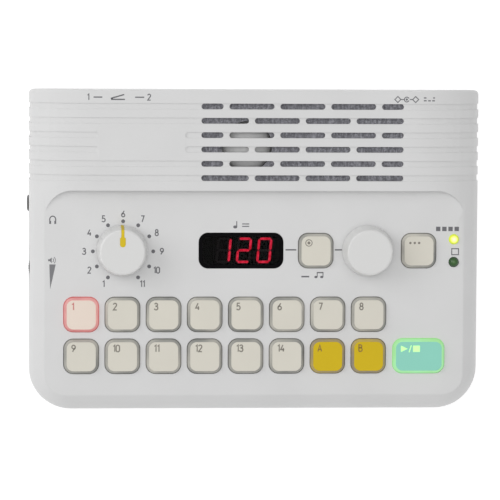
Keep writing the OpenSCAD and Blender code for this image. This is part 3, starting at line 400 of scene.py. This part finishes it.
def make_materials():
    """One material for each slot of the record, and for the marks and fibres that are added."""
    paints = {
        "shell": moulded("shell_plastic", SHELL, 0.48, 0.16),
        "knob": make_knob(),
        # The unlit cream caps' sides glow faintly: painted light that evens out their shading, since no lamp is
        # under them
        "cream_cap": make_cap(
            "cream_cap", CREAM, RING, (((255, 255, 250), 0.03), NO_GLOW), Specular_IOR_Level=0.2
        ),
        # The unlit mustard caps' sides glow faintly too: painted light that evens out their shading
        "mustard_cap": make_cap(
            "mustard_cap", MUSTARD, (142, 132, 118), (((255, 246, 225), 0.05), NO_GLOW),
            Specular_IOR_Level=0.2
        ),
        "lit_cap": make_cap(
            "lit_cap", CREAM, (160, 140, 138), (((255, 70, 80), 0.33), ((255, 118, 72), 0.10))
        ),
        "start_cap": make_cap(
            "start_cap", (138, 202, 186), (110, 150, 105),
            (((183, 255, 160), 0.47), ((90, 220, 180), 0.12))
        ),
        "mustard": moulded("pointer_plastic", (218, 190, 30), 0.4, 0.05, Specular_IOR_Level=0.2),
        "window": glossy(
            "smoked_window", (84, 78, 80), 0.03, Transmission_Weight=1.0, IOR=1.12,
            Specular_IOR_Level=0.25
        ),
        "window_ink": glossy("window_ink", (10, 9, 11), 0.05, Specular_IOR_Level=0.02),
        "segment": moulded("unlit_segment", (200, 200, 203)),
        "black_plastic": moulded("black_plastic", (26, 26, 28), 0.42),
        "wheel": moulded("wheel_plastic", (62, 63, 66)),
        "pot_blue": glossy("pot_body", (40, 70, 120), 0.4),
        "led_chip": glossy("led_chip", (230, 228, 214), 0.2),
        "lamp_lit": make_lamp("lamp_lit", "pattern_lamp", (206, 220, 60), (255, 252, 172), 0.8),
        "lamp_dark": make_lamp("lamp_dark", "pad_lamp", (44, 82, 40), (70, 108, 56)),
        "rubber": moulded("rubber", (34, 34, 35), 0.85, 0.4),
        "steel": metal("zinc_steel", (190, 191, 194), 0.35),
        "circuit_board": make_board(),
        "felt": make_felt("felt", (109, 109, 115), (162, 162, 169), (76, 76, 82)),
        "felt_fibre": make_felt("felt_fibre", (150, 151, 158), (196, 197, 203), (104, 104, 111)),
        "cone_paper": moulded("cone_paper", (40, 40, 43), 0.9, 0.6),
        "cap_paper": moulded("cap_paper", (200, 200, 200), 0.85, 0.5),
        "ferrite": moulded("ferrite", (62, 63, 66), 0.6, 0.3),
        "ribbon": moulded("ribbon_plastic", (196, 193, 184)),
        "ink": moulded("grey_ink", (107, 107, 111), 0.6, 0.02),
        "wedge_ink": moulded("pale_grey_ink", (124, 124, 127), 0.6, 0.02),
        "pad_ink": moulded("pad_ink", (132, 127, 118), 0.6, 0.02),
        # The figure on the lit pad is painted red to stand in for the light glowing through it: painted glow, with
        # no emission
        "painted_glow_ink": moulded("lit_pad_painted_glow_ink", (206, 130, 126), 0.6, 0.02),
        "fill_ink": moulded("fill_ink", (150, 118, 44), 0.6, 0.02),
        "lit_segment": make_lit_segment(),
        "lit_icon": make_lit_icon(),
    }
    return {slot: paint.material for slot, paint in paints.items()}


# ---- edges and shading of the CAD nodes ----

SHARP_ANGLE = math.radians(32)
WELD_DISTANCE = 0.000002
CUT_DISTANCE = 0.000001
ROUNDING_MM = {
    "top_case": 0.2, "bottom_case": 0.2, "battery_door": 0.2,
    "selector_knob": 0.12, "tempo_knob": 0.12, "selector_pointer": 0.1,
}
CAP_ROUNDING_MM = 0.18
SMALL_ROUNDING_MM = 0.08


def smooth_group():
    """Smooth shading except over sharp edges."""
    group = bpy.data.node_groups.new("smooth_by_angle", "GeometryNodeTree")
    for way in ("INPUT", "OUTPUT"):
        group.interface.new_socket("Geometry", in_out=way, socket_type="NodeSocketGeometry")
    make, join = group.nodes.new, group.links.new
    start, end = make("NodeGroupInput"), make("NodeGroupOutput")
    faces, edges = make("GeometryNodeSetShadeSmooth"), make("GeometryNodeSetShadeSmooth")
    edges.domain = "EDGE"
    edges.inputs["Shade Smooth"].default_value = False
    angle = make("GeometryNodeInputMeshEdgeAngle")
    sharp = make("FunctionNodeCompare")
    sharp.operation = "GREATER_THAN"
    sharp.inputs[1].default_value = SHARP_ANGLE
    join(start.outputs[0], faces.inputs["Geometry"])
    join(faces.outputs[0], edges.inputs["Geometry"])
    join(angle.outputs["Unsigned Angle"], sharp.inputs[0])
    join(sharp.outputs[0], edges.inputs["Selection"])
    join(edges.outputs[0], end.inputs[0])
    return group


SMOOTH = smooth_group()


def soften(obj, width_mm):
    """Rounds the sharp edges a little and shades the rest smooth."""
    weld = obj.modifiers.new("weld", "WELD")
    weld.merge_threshold = WELD_DISTANCE
    if width_mm:
        edge = obj.modifiers.new("edge", "BEVEL")
        edge.width = width_mm * MM
        edge.segments = 2
        edge.limit_method = "ANGLE"
        edge.angle_limit = SHARP_ANGLE
        edge.miter_outer = "MITER_ARC"
    smooth = obj.modifiers.new("smooth", "NODES")
    smooth.node_group = SMOOTH
    normals = obj.modifiers.new("normals", "WEIGHTED_NORMAL")
    normals.keep_sharp = True


def dress_nodes():
    """Gives each CAD node its material and its edges."""
    slot_of = {s["node"]: s["material_slot"] for s in frame["record"]["subparts"]}
    for name, obj in nodes.items():
        slot = slot_of[name]
        obj.data.materials.clear()
        obj.data.materials.append(MATERIALS[slot])
        usual = CAP_ROUNDING_MM if slot.endswith("cap") else SMALL_ROUNDING_MM
        soften(obj, ROUNDING_MM.get(name, usual))


# ---- printed marks ----

def arc(cx, cy, rx, ry, start, end, steps=14):
    """Points of an arc, in degrees from the x axis."""
    turns = [math.radians(start + (end - start) * i / steps) for i in range(steps + 1)]
    return [(cx + rx * math.cos(t), cy + ry * math.sin(t)) for t in turns]


def oval(cx, cy, rx, ry):
    """Points of a closed oval, anticlockwise."""
    return arc(cx, cy, rx, ry, 0, 360, 28)[:-1]


# Half the ink's thickness, and the height over the panel that rays start from
INK_HALF = 0.03
FAR_W = 60.0

TALL_OVAL = arc(0.25, 0.74, 0.25, 0.26, 0, 180) + arc(0.25, 0.26, 0.25, 0.26, 180, 360)
SIX_BOWL = oval(0.26, 0.27, 0.25, 0.27)
SIX_TAIL = [(0.42, 1.0)] + arc(0.44, 0.30, 0.43, 0.42, 118, 178, 6)
NINE_BOWL, NINE_TAIL = ([(0.51 - x, 1 - y) for x, y in line] for line in (SIX_BOWL, SIX_TAIL))

# Strokes of each figure in units of its height: closed ovals first, then open lines
FIGURES = {
    "0": ([TALL_OVAL], []),
    "1": ([], [[(0.02, 0.80), (0.24, 1.0), (0.24, 0.0)]]),
    "2": ([], [arc(0.25, 0.75, 0.24, 0.25, 168, -32) + [(0.01, 0.0), (0.51, 0.0)]]),
    "3": ([], [
        arc(0.23, 0.77, 0.22, 0.23, 160, -90) + arc(0.22, 0.28, 0.27, 0.28, 88, -160)
    ]),
    "4": ([], [[(0.34, 1.0), (0.0, 0.28), (0.53, 0.28)], [(0.40, 0.54), (0.40, 0.0)]]),
    "5": ([], [[(0.45, 1.0), (0.07, 1.0), (0.04, 0.54)] + arc(0.22, 0.31, 0.27, 0.31, 118, -152)]),
    "6": ([SIX_BOWL], [SIX_TAIL]),
    "7": ([], [[(0.0, 1.0), (0.50, 1.0), (0.18, 0.0)]]),
    "8": ([oval(0.25, 0.76, 0.20, 0.24), oval(0.25, 0.27, 0.25, 0.27)], []),
    "9": ([NINE_BOWL], [NINE_TAIL]),
    "A": ([], [[(0.0, 0.0), (0.27, 1.0), (0.54, 0.0)], [(0.09, 0.31), (0.45, 0.31)]]),
    "B": ([], [
        [(0.0, 0.54), (0.24, 0.54)] + arc(0.24, 0.27, 0.26, 0.27, 90, -90) + [(0.0, 0.0)],
        [(0.0, 0.0), (0.0, 1.0)] + arc(0.22, 0.77, 0.22, 0.23, 90, -90) + [(0.0, 0.54)],
    ]),
}
FIGURE_WIDTH = {"1": 0.28, "4": 0.53, "A": 0.54}
USUAL_WIDTH = 0.5
FIGURE_GAP = 0.17
FIGURE_WEIGHT = 0.18


class Print:
    """Thin ink marks that lie on a CAD node, drawn in panel millimetres."""

    def __init__(self, name, node):
        self.name = name
        self.mesh = bmesh.new()
        depsgraph = bpy.context.evaluated_depsgraph_get()
        self.tree = BVHTree.FromObject(nodes[node].evaluated_get(depsgraph), depsgraph)

    def lay(self, x, v):
        """The upper and lower ink point over a place; on the bare plane where the node has none."""
        hit = self.tree.ray_cast(on_panel(x, v, FAR_W), -NORMAL)[0]
        if hit is None:
            hit = on_panel(x, v)
        return hit + NORMAL * INK_HALF * MM, hit - NORMAL * INK_HALF * MM

    def plate(self, points):
        """A filled outline, anticlockwise."""
        pairs = [self.lay(*p) for p in points]
        low, top = ([self.mesh.verts.new(pair[side]) for pair in pairs] for side in (1, 0))
        add_rod(self.mesh, [low, top])

    def stroke(self, points, width, closed=False):
        """A line of even width, mitred at its corners."""
        count = len(points)
        sides = []
        for i, p in enumerate(points):
            before = points[i - 1] if i or closed else p
            after = points[(i + 1) % count] if i < count - 1 or closed else p
            first = Vector((p[0] - before[0], p[1] - before[1]))
            second = Vector((after[0] - p[0], after[1] - p[1]))
            first = (first if first.length else second).normalized()
            second = (second if second.length else first).normalized()
            along = (first + second).normalized() if (first + second).length > 0.2 else first
            across = Vector((-along.y, along.x))
            # A mitre reaches no further than the line's full width
            reach = width / 2 / max(0.5, along.dot(first))
            sides.append([
                self.lay(p[0] + s * across.x * reach, p[1] + s * across.y * reach) for s in (1, -1)
            ])
        rings = [
            [self.mesh.verts.new(q) for q in (a[0], b[0], b[1], a[1])] for a, b in sides
        ]
        if closed:
            for here, there in zip(rings, rings[1:] + rings[:1]):
                add_band(self.mesh, here, there)
        else:
            add_rod(self.mesh, rings)

    def disc(self, x, v, rx, ry=None):
        """A filled disc, or an oval where ry is given."""
        self.plate(oval(x, v, rx, ry or rx))

    def bar(self, x0, x1, v, width):
        """A level bar whose middle line is at v."""
        h = width / 2
        self.plate([(x0, v - h), (x1, v - h), (x1, v + h), (x0, v + h)])

    def figures(self, text, x, v, height, align=0.0):
        """Figures from x, v up and to the right, or moved left by a share of their width."""
        widths = [FIGURE_WIDTH.get(c, USUAL_WIDTH) for c in text]
        total = (sum(widths) + FIGURE_GAP * (len(text) - 1)) * height
        x -= align * total
        for c, w in zip(text, widths):
            for lines, closed in zip(FIGURES[c], (True, False)):
                for line in lines:
                    points = [(x + a * height, v + b * height) for a, b in line]
                    self.stroke(points, FIGURE_WEIGHT * height, closed)
            x += (w + FIGURE_GAP) * height

    def finish(self, body, material):
        new_piece(self.name, self.mesh, material, body)


FIGURE_H = 3.3
# How far a button's figure stands in from its left edge and down from its rear edge
NUMBER_IN, LETTER_IN, MARK_DOWN = 5.2, 4.9, 4.0


def print_buttons():
    """A number on each pad, letters on the fill buttons and icons on the others."""
    # Pad 1's figure takes the red painted glow, in place of the light that shines through it
    marks = [("pad_1", "number", "1", NUMBER_IN, "painted_glow_ink")]
    marks += [(f"pad_{i}", "number", str(i), NUMBER_IN, "pad_ink") for i in range(2, 15)]
    marks += [("fill_button_1", "letter", "A", LETTER_IN, "fill_ink")]
    marks += [("fill_button_2", "letter", "B", LETTER_IN, "fill_ink")]
    for button, kind, text, inward, colour in marks:
        low, high = panel_box(button)
        ink = Print(f"{button}_{kind}", button)
        ink.figures(text, low[0] + inward, high[1] - MARK_DOWN - FIGURE_H, FIGURE_H)
        ink.finish(button, colour)

    x, v, _ = panel_middle("tap_button")
    ink = Print("tap_mark", "tap_button")
    ink.disc(x - 3.6, v + 4.0, 0.75)
    ink.stroke(oval(x - 3.6, v + 4.0, 1.6, 1.6), 0.4, closed=True)
    ink.finish("tap_button", "pad_ink")

    x, v, _ = panel_middle("mode_button")
    ink = Print("mode_mark", "mode_button")
    for i in range(3):
        ink.disc(x - 4.4 + i * 2.2, v + 4.0, 0.6)
    ink.finish("mode_button", "pad_ink")

    x, v, _ = panel_middle("start_stop_button")
    ink = Print("start_stop_mark", "start_stop_button")
    ink.plate([(x - 9.0, v + 2.2), (x - 5.7, v + 3.75), (x - 9.0, v + 5.3)])
    ink.stroke([(x - 4.9, v + 2.0), (x - 3.8, v + 5.5)], 0.4)
    ink.plate([(x - 2.9, v + 2.2), (x + 0.5, v + 2.2), (x + 0.5, v + 5.3), (x - 2.9, v + 5.3)])
    ink.finish("start_stop_button", "lit_icon")


DIAL_MIDDLE = (-65.75, 71.6)
DIAL_DOTS = 11
DIAL_STEP = math.radians(30)
DOT_R, DOT_REACH = 0.95, 15
DIAL_FIGURE_H, FIGURE_REACH_X, FIGURE_REACH_V = 3.0, 19.3, 18.7


def print_panel():
    """The dial's dots and numbers, and the signs on the panel and the hump."""
    x0, v0 = DIAL_MIDDLE
    ink = Print("dial_marks", "top_case")
    for i in range(DIAL_DOTS):
        turn = (i - DIAL_DOTS // 2) * DIAL_STEP
        right, up = math.sin(turn), math.cos(turn)
        ink.disc(x0 + DOT_REACH * right, v0 + DOT_REACH * up, DOT_R)
        ink.figures(
            str(i + 1), x0 + FIGURE_REACH_X * right, v0 + FIGURE_REACH_V * up - DIAL_FIGURE_H / 2,
            DIAL_FIGURE_H, align=0.5
        )
    ink.finish("housing", "ink")

    ink = Print("panel_marks", "top_case")
    ink.bar(15.2, 20.6, 72.4, 0.7)
    ink.bar(39.9, 43.5, 72.4, 0.7)
    ink.bar(23.2, 27.1, 59.0, 0.75)
    tempo_sign(ink, -6.6, 83.0)
    beamed_notes(ink, 30.5, 58.2)
    for i in range(4):
        ink.bar(90.6 + i * 3.1, 92.8 + i * 3.1, 82.9, 2.2)
    ink.stroke([(98.6, 70.0), (102.0, 70.0), (102.0, 73.0), (98.6, 73.0)], 0.5, closed=True)
    headphone_sign(ink, -100.65, 85.05)
    ink.finish("housing", "ink")

    ink = Print("volume_marks", "top_case")
    ink.plate([(-102.3, 65.1), (-101.9, 52.8), (-99.15, 65.1)])
    loudspeaker_sign(ink, -101.2, 67.2)
    ink.finish("housing", "wedge_ink")

    ink = Print("hump_marks", "top_case")
    ink.figures("1", -83.6, 146.9, 2.9)
    ink.bar(-80.6, -76.3, 148.3, 0.6)
    pedal_sign(ink, -68.5, 146.9)
    ink.bar(-60.1, -55.6, 148.3, 0.6)
    ink.figures("2", -53.9, 146.9, 2.9)
    polarity_sign(ink, 70.3, 147.6)
    ink.bar(83.3, 88.9, 148.4, 0.6)
    for i in range(3):
        ink.bar(83.3 + i * 2.1, 84.7 + i * 2.1, 147.0, 0.6)
    ink.finish("housing", "ink")


def tempo_sign(ink, x, v):
    """A crotchet and an equals sign."""
    ink.disc(x - 3.4, v + 0.8, 1.0, 0.75)
    ink.bar(x - 2.85, x - 2.4, v + 2.2, 3.0)
    for up in (1.1, 2.3):
        ink.bar(x + 0.1, x + 3.6, v + up, 0.5)


def beamed_notes(ink, x, v):
    for left in (x, x + 2.9):
        ink.disc(left, v + 0.6, 0.8, 0.6)
        ink.bar(left + 0.45, left + 0.85, v + 1.8, 2.4)
    ink.bar(x + 0.45, x + 3.75, v + 2.8, 0.6)


def headphone_sign(ink, x, v):
    ink.stroke(arc(x, v + 2.3, 1.5, 1.75, -28, 208, 18), 0.55)
    for side in (-1, 1):
        ink.bar(x + side * 1.25 - 0.45, x + side * 1.25 + 0.45, v + 0.95, 1.5)


def loudspeaker_sign(ink, x, v):
    ink.plate([
        (x - 1.7, v - 0.5), (x - 0.9, v - 0.5), (x + 0.1, v - 1.4), (x + 0.1, v + 1.4),
        (x - 0.9, v + 0.5), (x - 1.7, v + 0.5)
    ])
    for r in (1.2, 2.1):
        ink.stroke(arc(x - 0.2, v, r, r, -48, 48, 8), 0.35)


def pedal_sign(ink, x, v):
    ink.stroke([(x - 3.4, v + 0.3), (x + 3.4, v + 0.3)], 0.65)
    ink.stroke([(x - 3.2, v + 0.9), (x + 3.0, v + 2.7)], 0.65)
    ink.disc(x - 3.1, v + 0.7, 0.55)


def polarity_sign(ink, x, v):
    reach, pitch = 1.5, 4.45
    for i in (0, 2):
        c = x + i * pitch
        ink.stroke([(c - reach, v), (c, v - reach), (c + reach, v), (c, v + reach)], 0.45, closed=True)
    ink.stroke(arc(x + pitch, v, 1.2, 1.2, 25, 335, 18), 0.45)
    ink.disc(x + pitch, v, 0.55)
    for i in (0, 1):
        ink.bar(x + i * pitch + reach, x + (i + 1) * pitch - reach + 0.3 * (1 - i), v, 0.45)


# ---- display ----

BORDER_IN, BORDER_W, BORDER_R = 0.12, 1.8, 4.7


def print_window_border():
    """The black frame that is printed round the window's clear part."""
    low, high = panel_box("display_window")
    x, v, _ = panel_middle("display_window")
    inset = BORDER_IN + BORDER_W / 2
    r = BORDER_R - inset
    half_x, half_v = (high[0] - low[0]) / 2 - inset - r, (high[1] - low[1]) / 2 - inset - r
    path = []
    for k, (a, b) in enumerate(((1, 1), (-1, 1), (-1, -1), (1, -1))):
        path += arc(x + a * half_x, v + b * half_v, r, r, 90 * k, 90 * k + 90, 8)
    ink = Print("window_border", "display_window")
    ink.stroke(path, BORDER_W, closed=True)
    ink.finish("housing", "window_ink")


# Each digit of 120 by its place from the middle one, with its lit bars
LIT = {-1: "bc", 0: "abged", 1: "abcdef"}
DIGIT_PITCH = 10.16
DIGIT_SLANT = math.tan(math.radians(5))
BAR_W, BAR_T = 1.2, 0.06
LEVEL_BAR, UPRIGHT_BAR = 5.7, 5.5
BAR_OUT, BAR_UP = 3.0, 5.8


def make_lit_bars():
    """The lit bars of the number 120, on top of the moulded ones."""
    x0, v0, _ = panel_middle("display_segments")
    w0 = panel_box("display_segments")[1][2]
    places = {
        "a": (0, BAR_UP, 0), "g": (0, 0, 0), "d": (0, -BAR_UP, 0),
        "b": (BAR_OUT, BAR_UP / 2, 1), "c": (BAR_OUT, -BAR_UP / 2, 1),
        "e": (-BAR_OUT, -BAR_UP / 2, 1), "f": (-BAR_OUT, BAR_UP / 2, 1),
    }
    mesh = bmesh.new()
    for place, bars in LIT.items():
        for bar in bars:
            cx, cy, upright = places[bar]
            h, k = (UPRIGHT_BAR if upright else LEVEL_BAR) / 2, BAR_W / 2
            outline = [(-h, 0), (-h + k, -k), (h - k, -k), (h, 0), (h - k, k), (-h + k, k)]
            if upright:
                outline = [(-b, a) for a, b in outline]
            flat = [
                (x0 + place * DIGIT_PITCH + cx + a + (cy + b) * DIGIT_SLANT, v0 + cy + b)
                for a, b in outline
            ]
            add_rod(mesh, [
                [mesh.verts.new(on_panel(x, v, w)) for x, v in flat] for w in (w0, w0 + BAR_T)
            ])
    new_piece("lit_segments", mesh, "lit_segment", "housing")


# ---- felt, springs and screw heads ----

FELT_STEP = 1.4
# How far the felt's points move in, as shares of its half thickness, and its two sizes of lump
RIM_IN, FACE_IN = 0.24, 0.09
LUMPS = ((420, 0.10), (1300, 0.07))


def make_felt_sheet():
    """The cut felt behind the sound slots: its faces are uneven and its cut edges are soft."""
    mesh = bmesh.new()
    mesh.from_mesh(nodes["speaker_felt"].data)
    bmesh.ops.remove_doubles(mesh, verts=mesh.verts, dist=WELD_DISTANCE)
    low, high = panel_box("speaker_felt")
    for axis, a, b in ((ACROSS, low[0], high[0]), (UPWARD, low[1], high[1])):
        count = round((b - a) / FELT_STEP)
        for i in range(1, count):
            place = ORIGIN + axis * (a + (b - a) * i / count) * MM
            everything = mesh.verts[:] + mesh.edges[:] + mesh.faces[:]
            bmesh.ops.bisect_plane(
                mesh, geom=everything, plane_co=place, plane_no=axis, dist=CUT_DISTANCE
            )
    middle = ORIGIN + NORMAL * (low[2] + high[2]) / 2 * MM
    half = (high[2] - low[2]) / 2 * MM
    bmesh.ops.recalc_face_normals(mesh, faces=mesh.faces)
    mesh.normal_update()
    moves = []
    for p in mesh.verts:
        rise = (p.co - middle).dot(NORMAL) / half
        rim = any(abs(f.normal.dot(NORMAL)) < 0.5 for f in p.link_faces)
        lump = sum(noise.noise(p.co * scale) * share for scale, share in LUMPS)
        inward = RIM_IN if rim else FACE_IN
        moves.append((p, -NORMAL * rise * half * (inward + abs(lump))))
    for p, move in moves:
        p.co += move
    felt = new_piece("felt_sheet", mesh, "felt", "housing", ["speaker_felt"])
    for polygon in felt.data.polygons:
        polygon.use_smooth = True
    return felt


FIBRES = 420
FIBRE_MARGIN = 2
FIBRE_STEPS = 4
# A ray starts this far out of the panel, just over the felt, and goes this many metres down
FIBRE_FROM_W, FIBRE_RAY = 2.45, 0.0012


def make_felt_fibres(felt):
    """Loose fibres on the felt's upper face; one that would cross an edge is left out."""
    tree = BVHTree.FromObject(felt, bpy.context.evaluated_depsgraph_get())
    low, high = panel_box("speaker_felt")
    chance = random.Random(7)
    mesh = bmesh.new()
    for _ in range(FIBRES):
        x = chance.uniform(low[0] + FIBRE_MARGIN, high[0] - FIBRE_MARGIN)
        v = chance.uniform(low[1] + FIBRE_MARGIN, high[1] - FIBRE_MARGIN)
        turn, bend = chance.uniform(0, math.tau), chance.uniform(-1.1, 1.1)
        length, thick = chance.uniform(1.0, 2.4), chance.uniform(0.035, 0.06)
        rings = []
        for i in range(FIBRE_STEPS + 1):
            heading = turn + bend * i / FIBRE_STEPS
            x += math.cos(heading) * length / FIBRE_STEPS
            v += math.sin(heading) * length / FIBRE_STEPS
            hit = tree.ray_cast(on_panel(x, v, FIBRE_FROM_W), -NORMAL, FIBRE_RAY)[0]
            if hit is None:
                break
            arch = 0.10 * math.sin(math.pi * i / FIBRE_STEPS)
            rise = hit + NORMAL * (thick * 0.4 + arch) * MM
            side = (ACROSS * -math.sin(heading) + UPWARD * math.cos(heading)) * thick * MM
            rings.append([rise + side, rise - side, rise + NORMAL * thick * 1.4 * MM])
        else:
            add_rod(mesh, [[mesh.verts.new(q) for q in ring] for ring in rings])
    new_piece("felt_fibres", mesh, "felt_fibre", "housing")


def islands(node):
    """The vertex places of each separate solid of a CAD node."""
    mesh = bmesh.new()
    mesh.from_mesh(nodes[node].data)
    bmesh.ops.remove_doubles(mesh, verts=mesh.verts, dist=WELD_DISTANCE)
    found, seen = [], set()
    for first in mesh.verts:
        if first in seen:
            continue
        seen.add(first)
        stack, places = [first], []
        while stack:
            here = stack.pop()
            places.append(here.co.copy())
            for edge in here.link_edges:
                other = edge.other_vert(here)
                if other not in seen:
                    seen.add(other)
                    stack.append(other)
        found.append(places)
    mesh.free()
    return found


def span(places):
    """Lowest and highest corner of the box round some places."""
    return (
        Vector([min(p[i] for p in places) for i in range(3)]),
        Vector([max(p[i] for p in places) for i in range(3)]),
    )


SPRING_TURNS = 4
TURN_STEPS = 20
WIRE_R = 0.0004
# The share of a spring's wire that lies flat at each of its ends
FLAT_SHARE = 0.12
# Turns of one spring have their middles this close together, along it and across it
TURNS_ALONG, TURNS_ACROSS = 0.003, 0.002


def make_springs():
    """Wound conical springs in the place of the source's stacked turns."""
    groups = {}
    for places in islands("battery_springs"):
        low, high = span(places)
        middle = (low + high) / 2
        key = tuple(middle)
        for known in groups:
            apart = Vector(known) - middle
            if apart.yz.length < TURNS_ACROSS and abs(apart.x) < TURNS_ALONG:
                key = known
                break
        groups.setdefault(key, []).append((low, high))
    mesh = bmesh.new()
    for turns in groups.values():
        low, high = span([corner for box in turns for corner in box])
        widest = max(turns, key=lambda t: t[1].y - t[0].y)
        slim = min(turns, key=lambda t: t[1].y - t[0].y)
        from_left = widest[0].x < slim[0].x
        root_x, way = (low.x, 1) if from_left else (high.x, -1)
        reach = high.x - low.x - 2 * WIRE_R
        root_r = (widest[1].y - widest[0].y) / 2 - WIRE_R
        tip_r = (slim[1].y - slim[0].y) / 2 - WIRE_R
        y, z = (low.y + high.y) / 2, (low.z + high.z) / 2
        path = []
        steps = TURN_STEPS * SPRING_TURNS
        for i in range(steps + 1):
            share = i / steps
            risen = min(1.0, max(0.0, (share - FLAT_SHARE) / (1 - 2 * FLAT_SHARE)))
            radius = root_r + (tip_r - root_r) * risen
            along = WIRE_R + reach * risen
            turn = math.tau * SPRING_TURNS * share
            path.append(Vector((
                root_x + way * along, y + radius * math.cos(turn), z + radius * math.sin(turn)
            )))
        add_wire(mesh, path, WIRE_R)
    springs = new_piece("coil_springs", mesh, "steel", "housing", ["battery_springs"])
    for polygon in springs.data.polygons:
        polygon.use_smooth = len(polygon.vertices) < WIRE_SIDES


WIRE_SIDES = 8


def add_wire(mesh, path, radius):
    """A round wire along a path, with flat ends."""
    rings = []
    side = None
    for i, p in enumerate(path):
        along = (path[min(i + 1, len(path) - 1)] - path[max(i - 1, 0)]).normalized()
        side = along.orthogonal() if side is None else side - along * side.dot(along)
        side.normalize()
        other = along.cross(side)
        rings.append([
            mesh.verts.new(p + (side * math.cos(t) + other * math.sin(t)) * radius)
            for t in (math.tau * k / WIRE_SIDES for k in range(WIRE_SIDES))
        ])
    add_rod(mesh, rings)


# Sizes of a screw in metres; its cross and its crown are in shares of the head's radius and height
HEAD_H, THREAD_R, CORE_R, THREAD_PITCH = 0.002, 0.0015, 0.00125, 0.0008
TIP_R, TIP_H, THREAD_END = 0.0002, 0.0014, 0.0016
CROSS_REACH, CROSS_HALF, CROSS_DEPTH, CROSS_DRAFT = 0.55, 0.13, 0.6, 0.72
CROWN = ((0.80, 0.0), (0.93, 0.10), (1.0, 0.35), (1.0, 1.0))
SCREW_SIDES = 32


def make_case_screws():
    """Pan heads with a cross recess, and threaded shanks, in the place of the plain screws."""
    mesh = bmesh.new()
    for places in islands("case_screws"):
        low, high = span(places)
        foot = Vector(((low.x + high.x) / 2, (low.y + high.y) / 2, low.z))
        add_cross_screw(mesh, foot, (high.x - low.x) / 2, high.z - low.z)
    screws = new_piece("cross_screws", mesh, "steel", "housing", ["case_screws"])
    soften(screws, 0)


def add_cross_screw(mesh, place, head_r, length):
    """A screw that points up from the middle of its head's lower face."""
    def ring(r, z):
        return [
            mesh.verts.new(place + Vector((r * math.cos(t), r * math.sin(t), z)))
            for t in (math.tau * (k + 0.5) / SCREW_SIDES for k in range(SCREW_SIDES))
        ]

    def cross(scale, z):
        return [mesh.verts.new(place + Vector((p.x * scale, p.y * scale, z))) for p in corners]

    reach, half = CROSS_REACH * head_r, CROSS_HALF * head_r
    corners = []
    for k in range(4):
        turn = Matrix.Rotation(math.tau * k / 4, 2)
        corners += [turn @ Vector(p) for p in ((reach, -half), (reach, half), (half, half))]

    rings = [ring(head_r * r, HEAD_H * z) for r, z in CROWN]
    z = HEAD_H
    rings.append(ring(CORE_R, z))
    while z + THREAD_PITCH < length - THREAD_END:
        for r, share in ((CORE_R, 0.25), (THREAD_R, 0.5), (CORE_R, 0.75)):
            rings.append(ring(r, z + THREAD_PITCH * share))
        z += THREAD_PITCH
    rings += [ring(CORE_R, length - TIP_H), ring(TIP_R, length)]
    for lower, upper in zip(rings, rings[1:]):
        add_band(mesh, lower, upper)
    mesh.faces.new(rings[-1])

    rim, pit = cross(1, 0), cross(CROSS_DRAFT, HEAD_H * CROSS_DEPTH)
    add_band(mesh, rim, pit)
    mesh.faces.new(pit)
    edges = []
    for loop in (rings[0], rim):
        edges += [mesh.edges.get(pair) for pair in zip(loop, loop[1:] + loop[:1])]
    bmesh.ops.triangle_fill(mesh, edges=edges, use_beauty=True)


MATERIALS = make_materials()
make_camera()
make_lights()
make_floor()
dress_nodes()
print_buttons()
print_panel()
print_window_border()
make_lit_bars()
felt_sheet = make_felt_sheet()
make_felt_fibres(felt_sheet)
make_springs()
make_case_screws()
